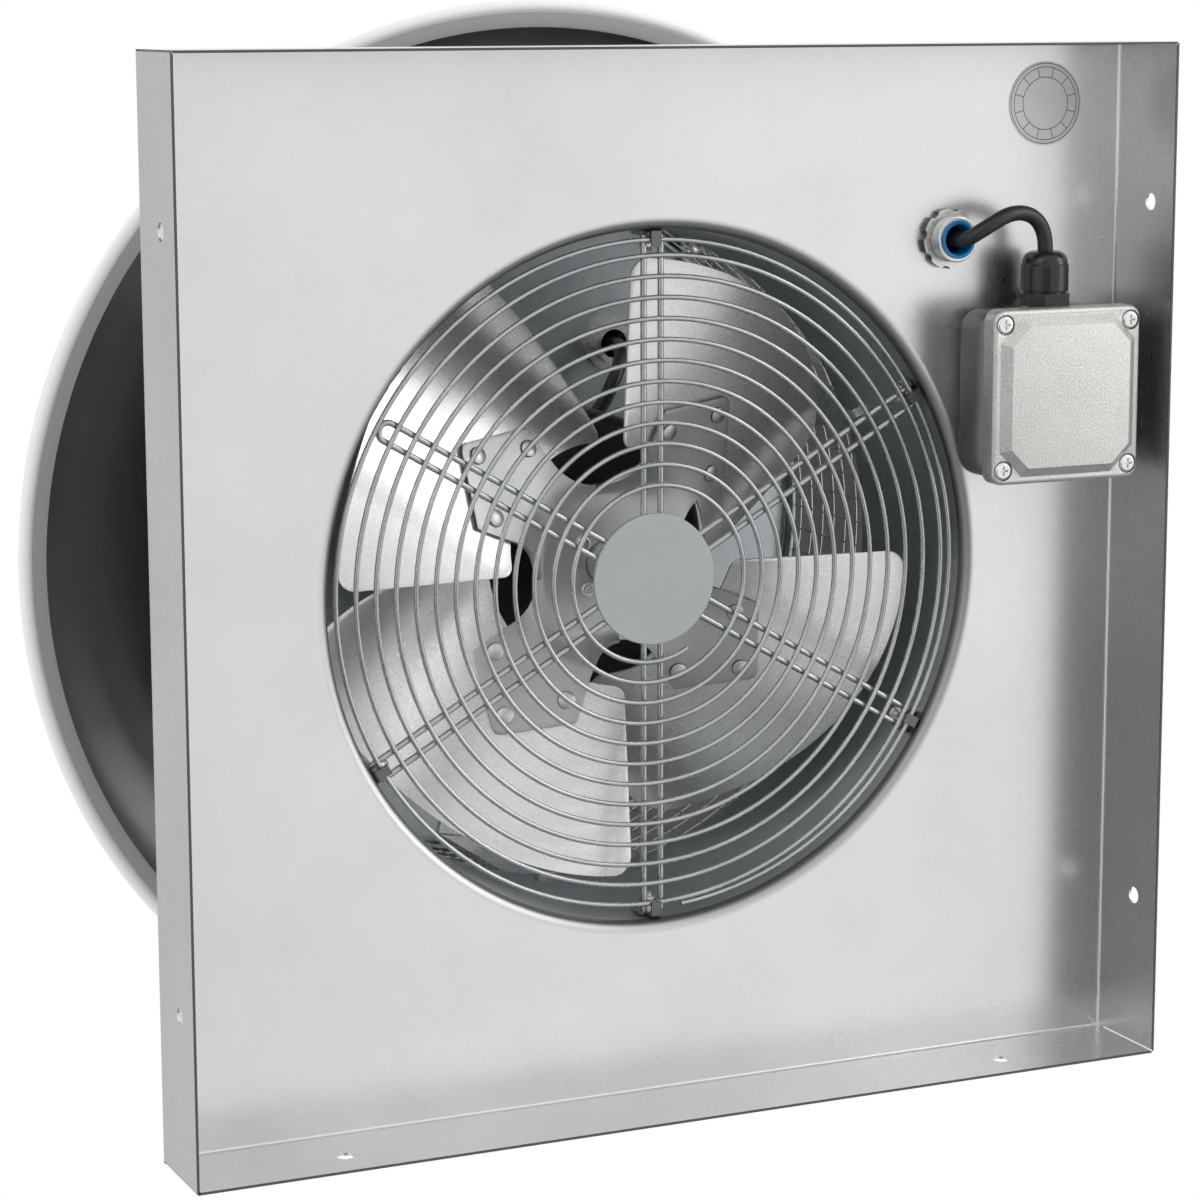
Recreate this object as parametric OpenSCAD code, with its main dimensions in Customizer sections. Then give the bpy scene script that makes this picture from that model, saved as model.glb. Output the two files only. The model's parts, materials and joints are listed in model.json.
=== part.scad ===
// Hooded roof vent fan: square curb cap, round throat with a spiral wire guard,
// four-blade propeller on a ceiling-hung motor, bird screen and spun hood.
// +Z points up through the hood, z = 0 is the open edge of the curb cap,
// and the fan's axis is the Z axis. All sizes are in millimetres.

/* [Curb cap] */
// Inside radius of the round throat
throat_r = 168; // [160:0.5:176]
// Width of the flat plate, from the throat's inside face to the flange
plate_margin = 86; // [84:1:110]
// Height of the cap's flange
cap_h = 52; // [48:1:80]
// Thickness of the cap's and throat's sheet
sheet_t = 1.2; // [0.8:0.1:2]
// Outside radius of the bend between plate and flange
bend_r = 2.4; // [2.2:0.1:4]
// Radius of the drawn lip round the opening, on the air side
lip_r = 6; // [4:0.5:10]
// Diameter of the fixing holes in the flange
flange_hole_d = 8.5; // [4:0.5:10]
// Distance between the two holes of one side
flange_hole_span = 352; // [200:2:400]
// Height of the fixing holes above the open edge
flange_hole_z = 20; // [12:1:30]
// Width of the slit where two flanges meet at a corner
corner_slit = 0.8; // [0.5:0.1:2]

/* [Throat, legs and motor deck] */
// Height of the throat above the plate
throat_h = 104; // [90:1:120]
// Height of the motor deck's underside above the plate
deck_rise = 203; // [190:1:230]
// Thickness of the motor deck
deck_t = 1.6; // [1:0.1:3]
// Depth of the deck's turned-down rim
deck_rim = 9; // [5:0.5:15]
// Width of a support leg
leg_w = 24; // [18:1:30]
// Thickness of a support leg
leg_t = 2; // [1.5:0.1:3]
// Length of leg that laps the throat
leg_lap = 38; // [30:1:60]
// Distance of the leg bolts below the throat's top edge
leg_bolt_drop = 16; // [10:1:22]
// Diameter of the leg bolts
leg_bolt_d = 5; // [4:0.5:6]

/* [Bird screen] */
// Clear space between the legs and the screen
screen_gap = 5.2; // [4.8:0.1:8]
// Thickness of the screen
screen_t = 1.2; // [0.8:0.1:2]
// Meshes round the screen
mesh_cols = 36; // [24:1:36]
// Meshes over the screen's height
mesh_rows = 8; // [5:1:8]
// Width of the wire between two meshes
mesh_wire = 1.6; // [1:0.1:3]

/* [Hood] */
// Outside radius of the hood over its rolled bead
hood_r = 275; // [262:1:300]
// Height of the hood's lip above the cap's plate
hood_rise = 142; // [130:1:160]
// Thickness of the spun sheet
hood_t = 1.2; // [0.8:0.1:2]
// Radius of the shallow crown
crown_r = 420; // [380:5:520]
// Radius of the shoulder between crown and skirt
shoulder_r = 60; // [50:1:75]
// Radius of the rolled bead at the rim
bead_r = 2.4; // [1.5:0.1:4]
// Width of the lip turned in under the hood
hood_lip = 6.3; // [4:0.1:12]
// Radius of the circle on which the hood posts stand
post_r = 152; // [148:1:158]
// Diameter of a hood post
post_d = 14; // [10:0.5:18]
// Diameter of the bolts through the hood posts
post_bolt_d = 6; // [4:0.5:8]

/* [Motor] */
// Radius of the motor's shell
motor_r = 72; // [68:0.5:80]
// Height of the motor, without the boss of its lower bell
motor_h = 105; // [95:1:112]
// Wall of the motor's shell
shell_t = 2.5; // [1.5:0.1:4]
// Height of each end bell
bell_h = 12; // [11:0.5:16]
// Diameter of the shaft
shaft_d = 12.7; // [8:0.1:16]
// Outside diameter of a bearing
bearing_d = 32; // [26:1:40]
// Width of a bearing
bearing_w = 10; // [7:0.5:10]
// Radius of the rotor
rotor_r = 39.6; // [30:0.1:44]
// Gap between rotor and stator
air_gap = 0.4; // [0.3:0.05:0.8]
// Length of the stator's stack
stack_h = 40; // [30:1:48]
// Diameter of the through studs
stud_d = 4.8; // [4:0.1:6]

/* [Propeller] */
// Radius over the blade tips
tip_r = 152.5; // [140:0.5:156]
// Radius of the blades' root edge
root_r = 59; // [56:0.5:68]
// Thickness of a blade
blade_t = 1.2; // [0.8:0.1:2]
// Thickness of the spider
spider_t = 2; // [1.5:0.1:3]
// Height of the spider's flat centre above the cap's plate
hub_rise = 62; // [58:0.5:64]
// Height of the leading edge above the plate at the tip
tip_rise = 32; // [28:0.5:36]
// Height of the leading edge above the plate at the root
root_rise = 39; // [35:0.5:43]
// Chord angle of a blade at its tip
tip_chord = 71; // [60:0.5:76]
// Growth of that angle towards the root, degrees per millimetre
chord_growth = 0.23; // [0.1:0.01:0.25]
// Corner radius of a blade at its tip
blade_corner = 10; // [5:0.5:14]
// Corner radius of a blade at its root
root_corner = 5; // [3:0.5:9]
// Distance from the axis to the pointed end of a spider arm
arm_reach = 103; // [98:0.5:108]
// Half width of a spider arm at the shaft, before it widens
arm_half = 6.4; // [5.5:0.1:7]
// Radius of the spider's centre where a scallop comes nearest
scallop_r = 40; // [36:0.5:44]
// Radius of the rivet circle on the arm's wings
rivet_r = 71; // [69:0.5:73]
// Angle of those two rivets from the arm's middle line
rivet_turn = 16; // [12:0.5:18]
// Radius of the arm's outer rivet
rivet_outer_r = 92; // [88:0.5:94]
// Diameter of the rivets' shanks
rivet_d = 4.8; // [4:0.1:6]

/* [Hub] */
// Radius of the hub's front boss
boss_r = 11; // [9.5:0.1:11.5]
// Length of the boss in front of the spider
boss_h = 6.5; // [4:0.5:9]
// Radius of the hub's flange
hub_flange_r = 24; // [22:0.5:27]
// Thickness of the hub's flange
hub_flange_t = 4; // [3:0.5:6]
// Radius of the circle of hub screws
hub_screw_r = 16.5; // [16.2:0.1:18.5]
// Diameter of the hub screws
hub_screw_d = 4; // [3:0.1:4.5]
// Radius of the hub's sleeve
sleeve_r = 13; // [12:0.5:15]
// Length of the hub's sleeve behind the flange
sleeve_h = 15; // [12:0.5:18]

/* [Wire guard] */
// Height of the spiral's wire above the cap's plate
guard_rise = 5; // [4:0.5:9]
// Diameter of the spiral's wire
wire_d = 2.4; // [1.6:0.1:3]
// Pitch of the spiral
spiral_pitch = 10; // [9:0.5:14]
// Distance from the throat's wall to the middle of the outer ring
ring_gap = 5; // [4.6:0.1:8]
// Diameter of the spokes
spoke_d = 3; // [2:0.1:4]
// Distance between the two wires of a spoke
spoke_gap = 9; // [8.6:0.1:12]
// Diameter of the centre disc
disc_d = 64; // [50:1:70]
// Thickness of the centre disc
disc_t = 1.6; // [1:0.1:2.2]
// Width of a guard clip
clip_w = 5.4; // [4:0.1:5.5]
// Thickness of a guard clip
clip_t = 1.2; // [0.8:0.1:2]
// Height of a guard clip along the throat
clip_h = 22; // [18:0.5:28]
// Diameter of the clip screws
clip_screw_d = 3.5; // [3:0.1:4]

/* [Terminal box] */
// Width of the lid
lid_w = 83; // [76:0.5:88]
// Length of the lid
lid_l = 85.4; // [78:0.1:92]
// Depth of the box from the plate to the lid's rim
box_depth = 40.8; // [36:0.2:44]
// Depth of the lid
lid_h = 10; // [8:0.5:13]
// Height of the raised panel on the lid
panel_h = 3; // [1:0.5:4]
// Setback of the body behind the lid's edge
body_inset = 6; // [3:0.5:7]
// Distance from the box's middle line to the axis, along Y
box_y = 83.9; // [80:0.1:88]
// Clear space between the box and the opening
box_clear = 1; // [0.6:0.1:3]
// Wall of the casting
box_wall = 3; // [2:0.1:4]
// Thickness of the gasket
gasket_t = 1; // [0.5:0.1:2]
// Diameter of the lid screws
lid_screw_d = 4; // [3:0.1:5]
// Distance of the lid screws from the lid's edges
lid_screw_in = 6; // [5.5:0.1:7]

/* [Cable and conduit] */
// Distance of the gland's axis below the plate
gland_drop = 20.8; // [19:0.2:23]
// Radius of the gland's thread
gland_thread_r = 8; // [6:0.5:8]
// Radius of the gland's cap nut
gland_nut_r = 13.4; // [11:0.1:14]
// Diameter of the lead
lead_d = 7.6; // [6:0.1:8]
// Distance from the axis to the conduit connector, along X
entry_x = 155.5; // [153:0.5:158]
// Distance from the axis to the conduit connector, along Y
entry_y = 159.1; // [157:0.5:162]
// Radius of the connector's threaded nipple
nipple_r = 10.5; // [9.5:0.1:11]
// Radius of the connector's bore
nipple_bore_r = 7.6; // [6.5:0.1:8]
// Length of nipple below the plate
nipple_drop = 11; // [8:0.5:14]
// Outside radius of the flexible conduit
conduit_r = 10.4; // [9.5:0.1:11]
// Bend radius of the conduit
conduit_bend = 50; // [40:1:55]
// Distance between two ribs of the conduit
rib_pitch = 5; // [4:0.5:8]
// Diameter of the round plate disc
label_d = 41; // [30:1:50]

/* [Hidden] */

$fn = 64;
deg = 180 / PI;
fit = 0.02;
seat = 0.1;
spider_gap = 0.35;

cap_side = 2 * (throat_r + plate_margin);
plate_top = cap_h;
plate_under = cap_h - sheet_t;
throat_or = throat_r + sheet_t;
opening_r = throat_r + lip_r;
throat_z0 = plate_under + lip_r;
throat_z1 = plate_top + throat_h;
leg_or = throat_or + leg_t;
leg_angles = [-22, 98, 218];
leg_deg = leg_w / throat_or * deg;
leg_bolt_z = throat_z1 - leg_bolt_drop;
foot_len = leg_or - post_r + post_d / 2;
deck_z = plate_top + deck_rise;
deck_top = deck_z + deck_t;
screen_ir = leg_or + screen_gap;
deck_r = screen_ir - 0.3;

rim_z = plate_top + hood_rise;
skirt_r = hood_r - 2 * bead_r + hood_t;
shoulder_x = skirt_r - shoulder_r;
skirt_h = 8;
shoulder_z = rim_z + skirt_h;
crown_z = shoulder_z - sqrt(pow(crown_r - shoulder_r, 2) - pow(shoulder_x, 2));
post_bolt_top = crown_z + sqrt(pow(crown_r, 2) - pow(post_r, 2)) + 7;

shaft_r = shaft_d / 2;
motor_z0 = deck_z - motor_h;
motor_mid = motor_z0 + motor_h / 2;
bell_boss_r = bearing_d / 2 + 7;
bell_boss_h = 4;
stud_r = motor_r - shell_t - 3;
stator_or = motor_r - shell_t - seat;
stator_ir = rotor_r + air_gap;
coil_h = 15;
coil_r0 = stator_ir + 4;
coil_r1 = stud_r - stud_d;
thick_shaft_r = shaft_r + 1.6;

hub_z = plate_top + hub_rise;
boss_z = hub_z - spider_t / 2 - boss_h;
flange_z = hub_z + spider_t / 2 + fit;
sleeve_z = flange_z + hub_flange_t;
shaft_z0 = boss_z + 1.5;
arm_turn = 38.4;
arm_angles = [for (k = [0:3]) arm_turn + 90 * k];

wire_r = wire_d / 2;
spoke_r = spoke_d / 2;
guard_z = plate_top + guard_rise;
ring_r = throat_r - ring_gap;
ring_turn = 265;
spoke_z = guard_z + wire_r + spoke_r + seat / 2;
spoke_end = throat_r - spoke_r - 0.3;
spoke_bend = 3;
spoke_up = 8;
clip_angles = [-90, -30, 30, 90, 150];
clip_z = guard_z - wire_r - seat / 2 - clip_t;
clip_screw_z = clip_z + clip_h - 4;

lid_z = plate_under - box_depth;
gasket_z = lid_z + lid_h;
body_z = gasket_z + gasket_t;
body_w = lid_w - 2 * body_inset;
body_l = lid_l - 2 * body_inset;
body_corner = 10;
lid_corner = 6;
box_near_y = box_y - body_l / 2 + body_corner;
box_x = sqrt(pow(opening_r, 2) - pow(box_near_y, 2)) + box_clear + body_w / 2;
gland_x = box_x - 1.8;
gland_y = -box_y - lid_l / 2;
gland_z = plate_under - gland_drop;
hex_l = 6;
nut_l = 13;
dome_l = 6.5;

entry = [entry_x, -entry_y];
grommet = [66, -94];
run_vec = grommet - entry;
run_len = norm(run_vec);
run_angle = atan2(run_vec[1], run_vec[0]);
run_z = deck_top + conduit_r + 6.5;
clamp_l = 20;
conduit_core = conduit_r - 0.9;
clamp_r = conduit_r + 2.6;
elbow_r = nipple_r;
elbow_reach = 24;
label_x = cap_side / 2 - 43.9;
label_y = -(cap_side / 2 - 30.2);

// Plain shapes shared by the parts
module ring(r0, r1, z0, z1) {
    rotate_extrude() translate([r0, z0]) square([r1 - r0, z1 - z0]);
}

module turn(angles) {
    for (a = angles) rotate([0, 0, a]) children();
}

// Axis X, from the origin outwards
module rod_x(r, x0, x1) {
    translate([x0, 0, 0]) rotate([0, 90, 0]) cylinder(r = r, h = x1 - x0);
}

module hex_x(across, x0, x1) {
    translate([x0, 0, 0]) rotate([0, 90, 0]) cylinder(d = across / cos(30), h = x1 - x0, $fn = 6);
}

module hex_z(across, z0, z1) {
    translate([0, 0, z0]) cylinder(d = across / cos(30), h = z1 - z0, $fn = 6);
}

// Pan head with its flat side at z = 0 and its crown towards -Z
module pan_head(r, h, slot) {
    difference() {
        rotate_extrude() union() {
            translate([0, -h]) square([r - h / 2, h]);
            translate([0, -h / 2]) square([r, h / 2]);
            translate([r - h / 2, -h / 2]) circle(h / 2);
        }
        for (a = [0, 90]) rotate([0, 0, a])
            translate([-slot, -slot / 5, -h - 1]) cube([2 * slot, slot / 2.5, 1 + h * 0.6]);
    }
}

module round_rect(w, l, r) {
    square([w, l - 2 * r], center = true);
    square([w - 2 * r, l], center = true);
    for (x = [-1, 1], y = [-1, 1])
        translate([x * (w / 2 - r), y * (l / 2 - r)]) circle(r);
}

// Curb cap
module cap_section(side, h, r) {
    translate([-side / 2, 0]) square([side, h - r]);
    translate([r - side / 2, 0]) square([side - 2 * r, h]);
    for (s = [-1, 1]) translate([s * (side / 2 - r), h - r]) circle(r);
}

module cap_block(side, h, r) {
    intersection() {
        rotate([90, 0, 0]) linear_extrude(side + 2, center = true) cap_section(side, h, r);
        rotate([90, 0, 90]) linear_extrude(side + 2, center = true) cap_section(side, h, r);
    }
}

module curb_cap() {
    color("gainsboro") difference() {
        union() {
            difference() {
                cap_block(cap_side, cap_h, bend_r);
                translate([0, 0, -1])
                    cap_block(cap_side - 2 * sheet_t, plate_under + 1, bend_r - sheet_t);
                cylinder(r = opening_r, h = cap_h + 1);
            }
            rotate_extrude() translate([opening_r, throat_z0]) intersection() {
                difference() {
                    circle(lip_r);
                    circle(lip_r - sheet_t);
                }
                translate([-lip_r, -lip_r]) square(lip_r);
            }
        }
        turn([0, 90, 180, 270]) for (s = [-1, 1])
            translate([0, s * flange_hole_span / 2, flange_hole_z])
                rod_x(flange_hole_d / 2, cap_side / 2 - 4, cap_side / 2 + 1);
        turn([45, 135, 225, 315])
            translate([cap_side / sqrt(2) - 8, -corner_slit / 2, -1])
                cube([12, corner_slit, cap_h - bend_r - 1]);
        translate([entry[0], entry[1], 0]) cylinder(r = nipple_r + seat, h = cap_h + 1);
        box_screw_places() cylinder(d = lid_screw_d + 2 * seat, h = cap_h + 1);
    }
}

// Throat and its three legs
module throat() {
    color("lightslategray") difference() {
        ring(throat_r, throat_or, throat_z0, throat_z1);
        turn(leg_angles) translate([0, 0, leg_bolt_z])
            rod_x(leg_bolt_d / 2 + seat, throat_r - 2, throat_or + 2);
        turn(clip_angles) translate([0, 0, clip_screw_z])
            rod_x(clip_screw_d / 2 + seat, throat_r - 2, throat_or + 2);
    }
}

module support_leg(a) {
    leg_z0 = throat_z1 - leg_lap;
    bend = leg_t + 1;
    color("silver") rotate([0, 0, a]) difference() {
        rotate([0, 0, -leg_deg / 2]) rotate_extrude(angle = leg_deg) union() {
            translate([throat_or + fit, leg_z0]) square([leg_t - fit, deck_z - bend - leg_z0]);
            translate([leg_or - foot_len, deck_z - leg_t]) square([foot_len - bend, leg_t]);
            translate([leg_or, deck_z]) intersection() {
                translate([-bend, -bend]) difference() {
                    circle(bend);
                    circle(bend - leg_t);
                }
                translate([-bend, -bend]) square(bend);
            }
        }
        translate([0, 0, leg_bolt_z]) rod_x(leg_bolt_d / 2 + seat, throat_r, leg_or + 1);
        translate([post_r, 0, deck_z - leg_t - 1]) cylinder(d = post_bolt_d + 2 * seat, h = leg_t + 2);
    }
}

module support_leg_1() { support_leg(leg_angles[0]); }
module support_leg_2() { support_leg(leg_angles[1]); }
module support_leg_3() { support_leg(leg_angles[2]); }

module leg_bolts() {
    color("lightgray") turn(leg_angles) translate([0, 0, leg_bolt_z]) {
        hex_x(leg_bolt_d * 1.6, throat_r - seat - leg_bolt_d * 0.7, throat_r - seat);
        rod_x(leg_bolt_d / 2, throat_r - seat, leg_or + leg_bolt_d * 0.8 + 0.5);
        hex_x(leg_bolt_d * 1.6, leg_or + fit, leg_or + leg_bolt_d * 0.7);
    }
}

// Motor deck
module motor_deck() {
    bend = deck_t + 1;
    color("slategray") difference() {
        rotate_extrude() union() {
            translate([0, deck_z]) square([deck_r - bend, deck_t]);
            translate([deck_r - deck_t, deck_top - deck_rim]) square([deck_t, deck_rim - bend]);
            translate([deck_r - bend, deck_top - bend]) intersection() {
                difference() {
                    circle(bend);
                    circle(bend - deck_t);
                }
                square(bend);
            }
        }
        turn(leg_angles) translate([post_r, 0, deck_z - 1])
            cylinder(d = post_bolt_d + 2 * seat, h = deck_t + 2);
        turn([45:90:315]) translate([stud_r, 0, deck_z - 1])
            cylinder(d = stud_d + 2 * seat, h = deck_t + 2);
        translate([grommet[0], grommet[1], deck_z - 1])
            cylinder(r = elbow_r + seat, h = deck_t + 2);
    }
}

// Bird screen, with a square opening for every second mesh of the real net
module bird_screen() {
    row_h = (deck_top - plate_top) / mesh_rows;
    col_w = 2 * PI * screen_ir / mesh_cols;
    color("silver") difference() {
        ring(screen_ir, screen_ir + screen_t, plate_top, deck_top);
        turn([for (k = [0:mesh_cols - 1]) 360 / mesh_cols * (k + 0.5)])
            for (row = [0:mesh_rows - 1])
                translate([screen_ir - 3, -(col_w - mesh_wire) / 2,
                    plate_top + row * row_h + mesh_wire / 2])
                    cube([screen_t + 6, col_w - mesh_wire, row_h - mesh_wire]);
    }
}

// Motor
module stud_holes(z0, z1) {
    turn([45:90:315]) translate([stud_r, 0, z0]) cylinder(d = stud_d + 2 * seat, h = z1 - z0);
}

module motor_shell() {
    color([0.13, 0.13, 0.14])
        ring(motor_r - shell_t, motor_r, motor_z0 + bell_h, deck_z - bell_h);
}

module bell(edge) {
    difference() {
        union() {
            rotate_extrude() union() {
                square([motor_r - edge, bell_h]);
                translate([0, edge]) square([motor_r, bell_h - edge]);
                translate([motor_r - edge, edge]) circle(edge);
            }
            translate([0, 0, -bell_boss_h]) cylinder(r = bell_boss_r, h = bell_boss_h + 1);
        }
        translate([0, 0, bell_h - bearing_w - 1]) cylinder(d = bearing_d + 2 * fit, h = bearing_w + 2);
        translate([0, 0, -bell_boss_h - 1]) cylinder(r = shaft_r + 1, h = bell_h + bell_boss_h);
    }
}

module lower_bell() {
    color([0.12, 0.12, 0.13]) difference() {
        translate([0, 0, motor_z0]) bell(6);
        stud_holes(motor_z0 - 1, motor_z0 + bell_h + 1);
    }
}

module upper_bell() {
    color([0.12, 0.12, 0.13]) difference() {
        ring(0, motor_r, deck_z - bell_h, deck_z);
        translate([0, 0, deck_z - bell_h - 1]) cylinder(d = bearing_d + 2 * fit, h = bearing_w + 2);
        stud_holes(deck_z - bell_h - 1, deck_z + 1);
    }
}

module bearing(z) {
    color("silver") difference() {
        ring(shaft_r + fit, bearing_d / 2, z, z + bearing_w);
        for (s = [z - 1, z + bearing_w - 0.6])
            ring(shaft_r + 3, bearing_d / 2 - 2.5, s, s + 1.6);
    }
}

module lower_bearing() { bearing(motor_z0 + bell_h - bearing_w - 1); }
module upper_bearing() { bearing(deck_z - bell_h + 1); }

module stator() {
    color([0.35, 0.35, 0.37]) difference() {
        ring(stator_ir, stator_or, motor_mid - stack_h / 2, motor_mid + stack_h / 2);
        stud_holes(motor_mid - stack_h / 2 - 1, motor_mid + stack_h / 2 + 1);
    }
}

module windings() {
    edge = 4;
    color([0.72, 0.42, 0.2]) for (z = [-stack_h / 2 - coil_h, stack_h / 2])
        rotate_extrude() translate([coil_r0 + edge, motor_mid + z + edge]) union() {
            translate([-edge, -edge]) square([coil_r1 - coil_r0, coil_h - edge]);
            translate([0, -edge]) square([coil_r1 - coil_r0 - 2 * edge, coil_h]);
            for (x = [0, coil_r1 - coil_r0 - 2 * edge])
                translate([x, coil_h - 2 * edge]) circle(edge);
        }
}

module motor_studs() {
    head = stud_d * 0.7;
    color([0.2, 0.2, 0.21]) turn([45:90:315]) translate([stud_r, 0, 0]) {
        hex_z(stud_d * 1.6, motor_z0 - head, motor_z0);
        translate([0, 0, motor_z0]) cylinder(d = stud_d, h = deck_top + head + 2 - motor_z0);
        hex_z(stud_d * 1.6, deck_top, deck_top + head);
    }
}

module rotor() {
    z0 = motor_mid - stack_h / 2 - 2;
    z1 = motor_mid + stack_h / 2 + 2;
    color([0.6, 0.6, 0.62]) {
        ring(thick_shaft_r + fit, rotor_r, z0, z1);
        for (z = [z0 - 4, z1]) ring(thick_shaft_r + 12, rotor_r - 4, z, z + 4);
    }
}

module motor_shaft() {
    z_in = motor_z0 + bell_h - 0.5;
    z_out = deck_z - bell_h + 0.5;
    color("darkgray") difference() {
        union() {
            ring(0, shaft_r, shaft_z0, deck_z - 3);
            ring(0, thick_shaft_r, z_in, z_out);
        }
        translate([0, 0, shaft_z0 - 1]) cylinder(r1 = 2.5, r2 = 0.5, h = 4);
        translate([shaft_r - 0.6, -shaft_r, sleeve_z]) cube([shaft_d, shaft_d, sleeve_h]);
    }
}

// Hub
module hub() {
    color("silver") difference() {
        rotate_extrude() union() {
            translate([0, boss_z]) square([boss_r - 2.4, 2]);
            translate([0, boss_z + 1.2]) square([boss_r - 1.2, 2]);
            translate([0, boss_z + 2.4]) square([boss_r, flange_z - boss_z]);
            translate([0, flange_z]) square([hub_flange_r, hub_flange_t]);
            translate([0, sleeve_z - 1]) square([sleeve_r, sleeve_h + 1]);
        }
        translate([0, 0, boss_z - 1]) cylinder(r = shaft_r + fit, h = boss_h + sleeve_h + 12);
        translate([0, 0, sleeve_z + sleeve_h / 2]) rod_x(2.5 + fit, shaft_r - 1, sleeve_r + 1);
        turn(arm_angles) translate([hub_screw_r, 0, flange_z - 1])
            cylinder(d = hub_screw_d + 2 * fit, h = hub_flange_t + 2);
    }
}

module hub_screws() {
    color("gainsboro") turn(arm_angles)
        translate([hub_screw_r, 0, hub_z - spider_t / 2]) {
            pan_head(hub_screw_d, hub_screw_d * 0.6, hub_screw_d * 0.5);
            cylinder(d = hub_screw_d, h = spider_t + hub_flange_t + 1);
        }
}

module set_screw() {
    color([0.15, 0.15, 0.16]) translate([0, 0, sleeve_z + sleeve_h / 2]) difference() {
        rod_x(2.5, shaft_r - 0.4, sleeve_r + 0.8);
        hex_x(2.5, sleeve_r - 1.5, sleeve_r + 1);
    }
}

// Propeller. A blade is a twisted sheet: r runs from its root to its tip and
// a is the angle behind the leading edge, both on the same rule for every blade.
function tip_height(a) = plate_top + tip_rise - 0.2 * a + 0.0195 * a * a;
function root_height(a) = plate_top + root_rise + 0.5 * a;
function blade_height(r, a) = root_height(a)
    + (tip_height(a) - root_height(a)) * (r - rivet_r) / (tip_r - rivet_r);
function radial_slope(r, a) = (tip_height(a) - root_height(a)) / (tip_r - rivet_r);
function turning_slope(r, a) = (blade_height(r, a + 0.5) - blade_height(r, a - 0.5)) * deg / r;
function lean(r, a) = sqrt(1 + pow(radial_slope(r, a), 2) + pow(turning_slope(r, a), 2));

function corner_cut(s, c) = s >= c ? 0 : c - sqrt(pow(c, 2) - pow(c - s, 2));
function edge_cut(r) = corner_cut(r - root_r, root_corner) + corner_cut(tip_r - r, blade_corner);
function lead_angle(r) = edge_cut(r) / r * deg;
function trail_angle(r) = tip_chord + (tip_r - r) * chord_growth - edge_cut(r) / r * deg;

blade_rows = 5;
blade_cols = 15;
round_steps = [0, 0.15, 0.45, 1];
blade_radii = concat(
    [for (s = round_steps) root_r + s * root_corner],
    [for (k = [1:blade_rows - 1]) root_r + root_corner
        + (tip_r - root_r - root_corner - blade_corner) * k / blade_rows],
    [for (k = [3:-1:0]) tip_r - round_steps[k] * blade_corner]);

function polar(r, a, z) = [r * cos(a), r * sin(a), z];
function blade_grid(side) = [for (r = blade_radii) [for (k = [0:blade_cols])
    let (a = lead_angle(r) + (trail_angle(r) - lead_angle(r)) * k / blade_cols)
    polar(r, a, blade_height(r, a) + side * blade_t / 2 * lean(r, a))]];

// Closed sheet between a lower and an upper grid of points
module sheet(lower, upper) {
    m = len(lower);
    n = len(lower[0]);
    function at(g, i, j) = (g * m + i) * n + j;
    function quad(a, b, c, d) = [[a, b, c], [a, c, d]];
    inside = [for (i = [0:m - 2], j = [0:n - 2], t = [0, 1], g = [0, 1])
        g == 1 ? quad(at(1, i, j), at(1, i, j + 1), at(1, i + 1, j + 1), at(1, i + 1, j))[t]
            : quad(at(0, i, j), at(0, i + 1, j), at(0, i + 1, j + 1), at(0, i, j + 1))[t]];
    ends = [for (j = [0:n - 2], t = [0, 1], i = [0, m - 1])
        i == 0 ? quad(at(0, i, j), at(0, i, j + 1), at(1, i, j + 1), at(1, i, j))[t]
            : quad(at(0, i, j), at(1, i, j), at(1, i, j + 1), at(0, i, j + 1))[t]];
    edges = [for (i = [0:m - 2], t = [0, 1], j = [0, n - 1])
        j == 0 ? quad(at(0, i, j), at(1, i, j), at(1, i + 1, j), at(0, i + 1, j))[t]
            : quad(at(0, i, j), at(0, i + 1, j), at(1, i + 1, j), at(1, i, j))[t]];
    points = [for (g = [lower, upper]) for (row = g) for (p = row) p];
    polyhedron(points, concat(inside, ends, edges));
}

// Places of the rivets of one blade: radius and angle behind the leading edge
rivet_places = [[rivet_outer_r, arm_turn], [rivet_r, arm_turn - rivet_turn],
    [rivet_r, arm_turn + rivet_turn]];

module at_rivets() {
    for (p = rivet_places)
        rotate([0, 0, p[1]]) translate([p[0], 0, blade_height(p[0], p[1])])
            rotate([atan(turning_slope(p[0], p[1])), -atan(radial_slope(p[0], p[1])), 0])
                children();
}

module rivet_holes() {
    at_rivets() translate([0, 0, -6]) cylinder(d = rivet_d + 2 * seat, h = 12, $fn = 24);
}

module blade(k) {
    color("silver") rotate([0, 0, 90 * k]) difference() {
        sheet(blade_grid(-1), blade_grid(1));
        rivet_holes();
    }
}

module blade_1() { blade(0); }
module blade_2() { blade(1); }
module blade_3() { blade(2); }
module blade_4() { blade(3); }

// Spider: four pointed arms joined by scallops, pitched to lie on the blades
side_slope = 0.3;
scallop_k = (sin(45) - side_slope * cos(45)) / norm([1, side_slope]);
scallop_round = (scallop_r * scallop_k - arm_half / norm([1, side_slope])) / (1 - scallop_k);
scallop_far = scallop_r + scallop_round;
wing_blend = 40;
function wing_edge(a) = arm_half / max(sin(a) - side_slope * cos(a), 0.001);
function point_edge(a) = arm_reach / (cos(a) + sin(a));
function pointed(a) = pow(pow(point_edge(a), -wing_blend) + pow(wing_edge(a), -wing_blend),
    -1 / wing_blend);
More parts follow.
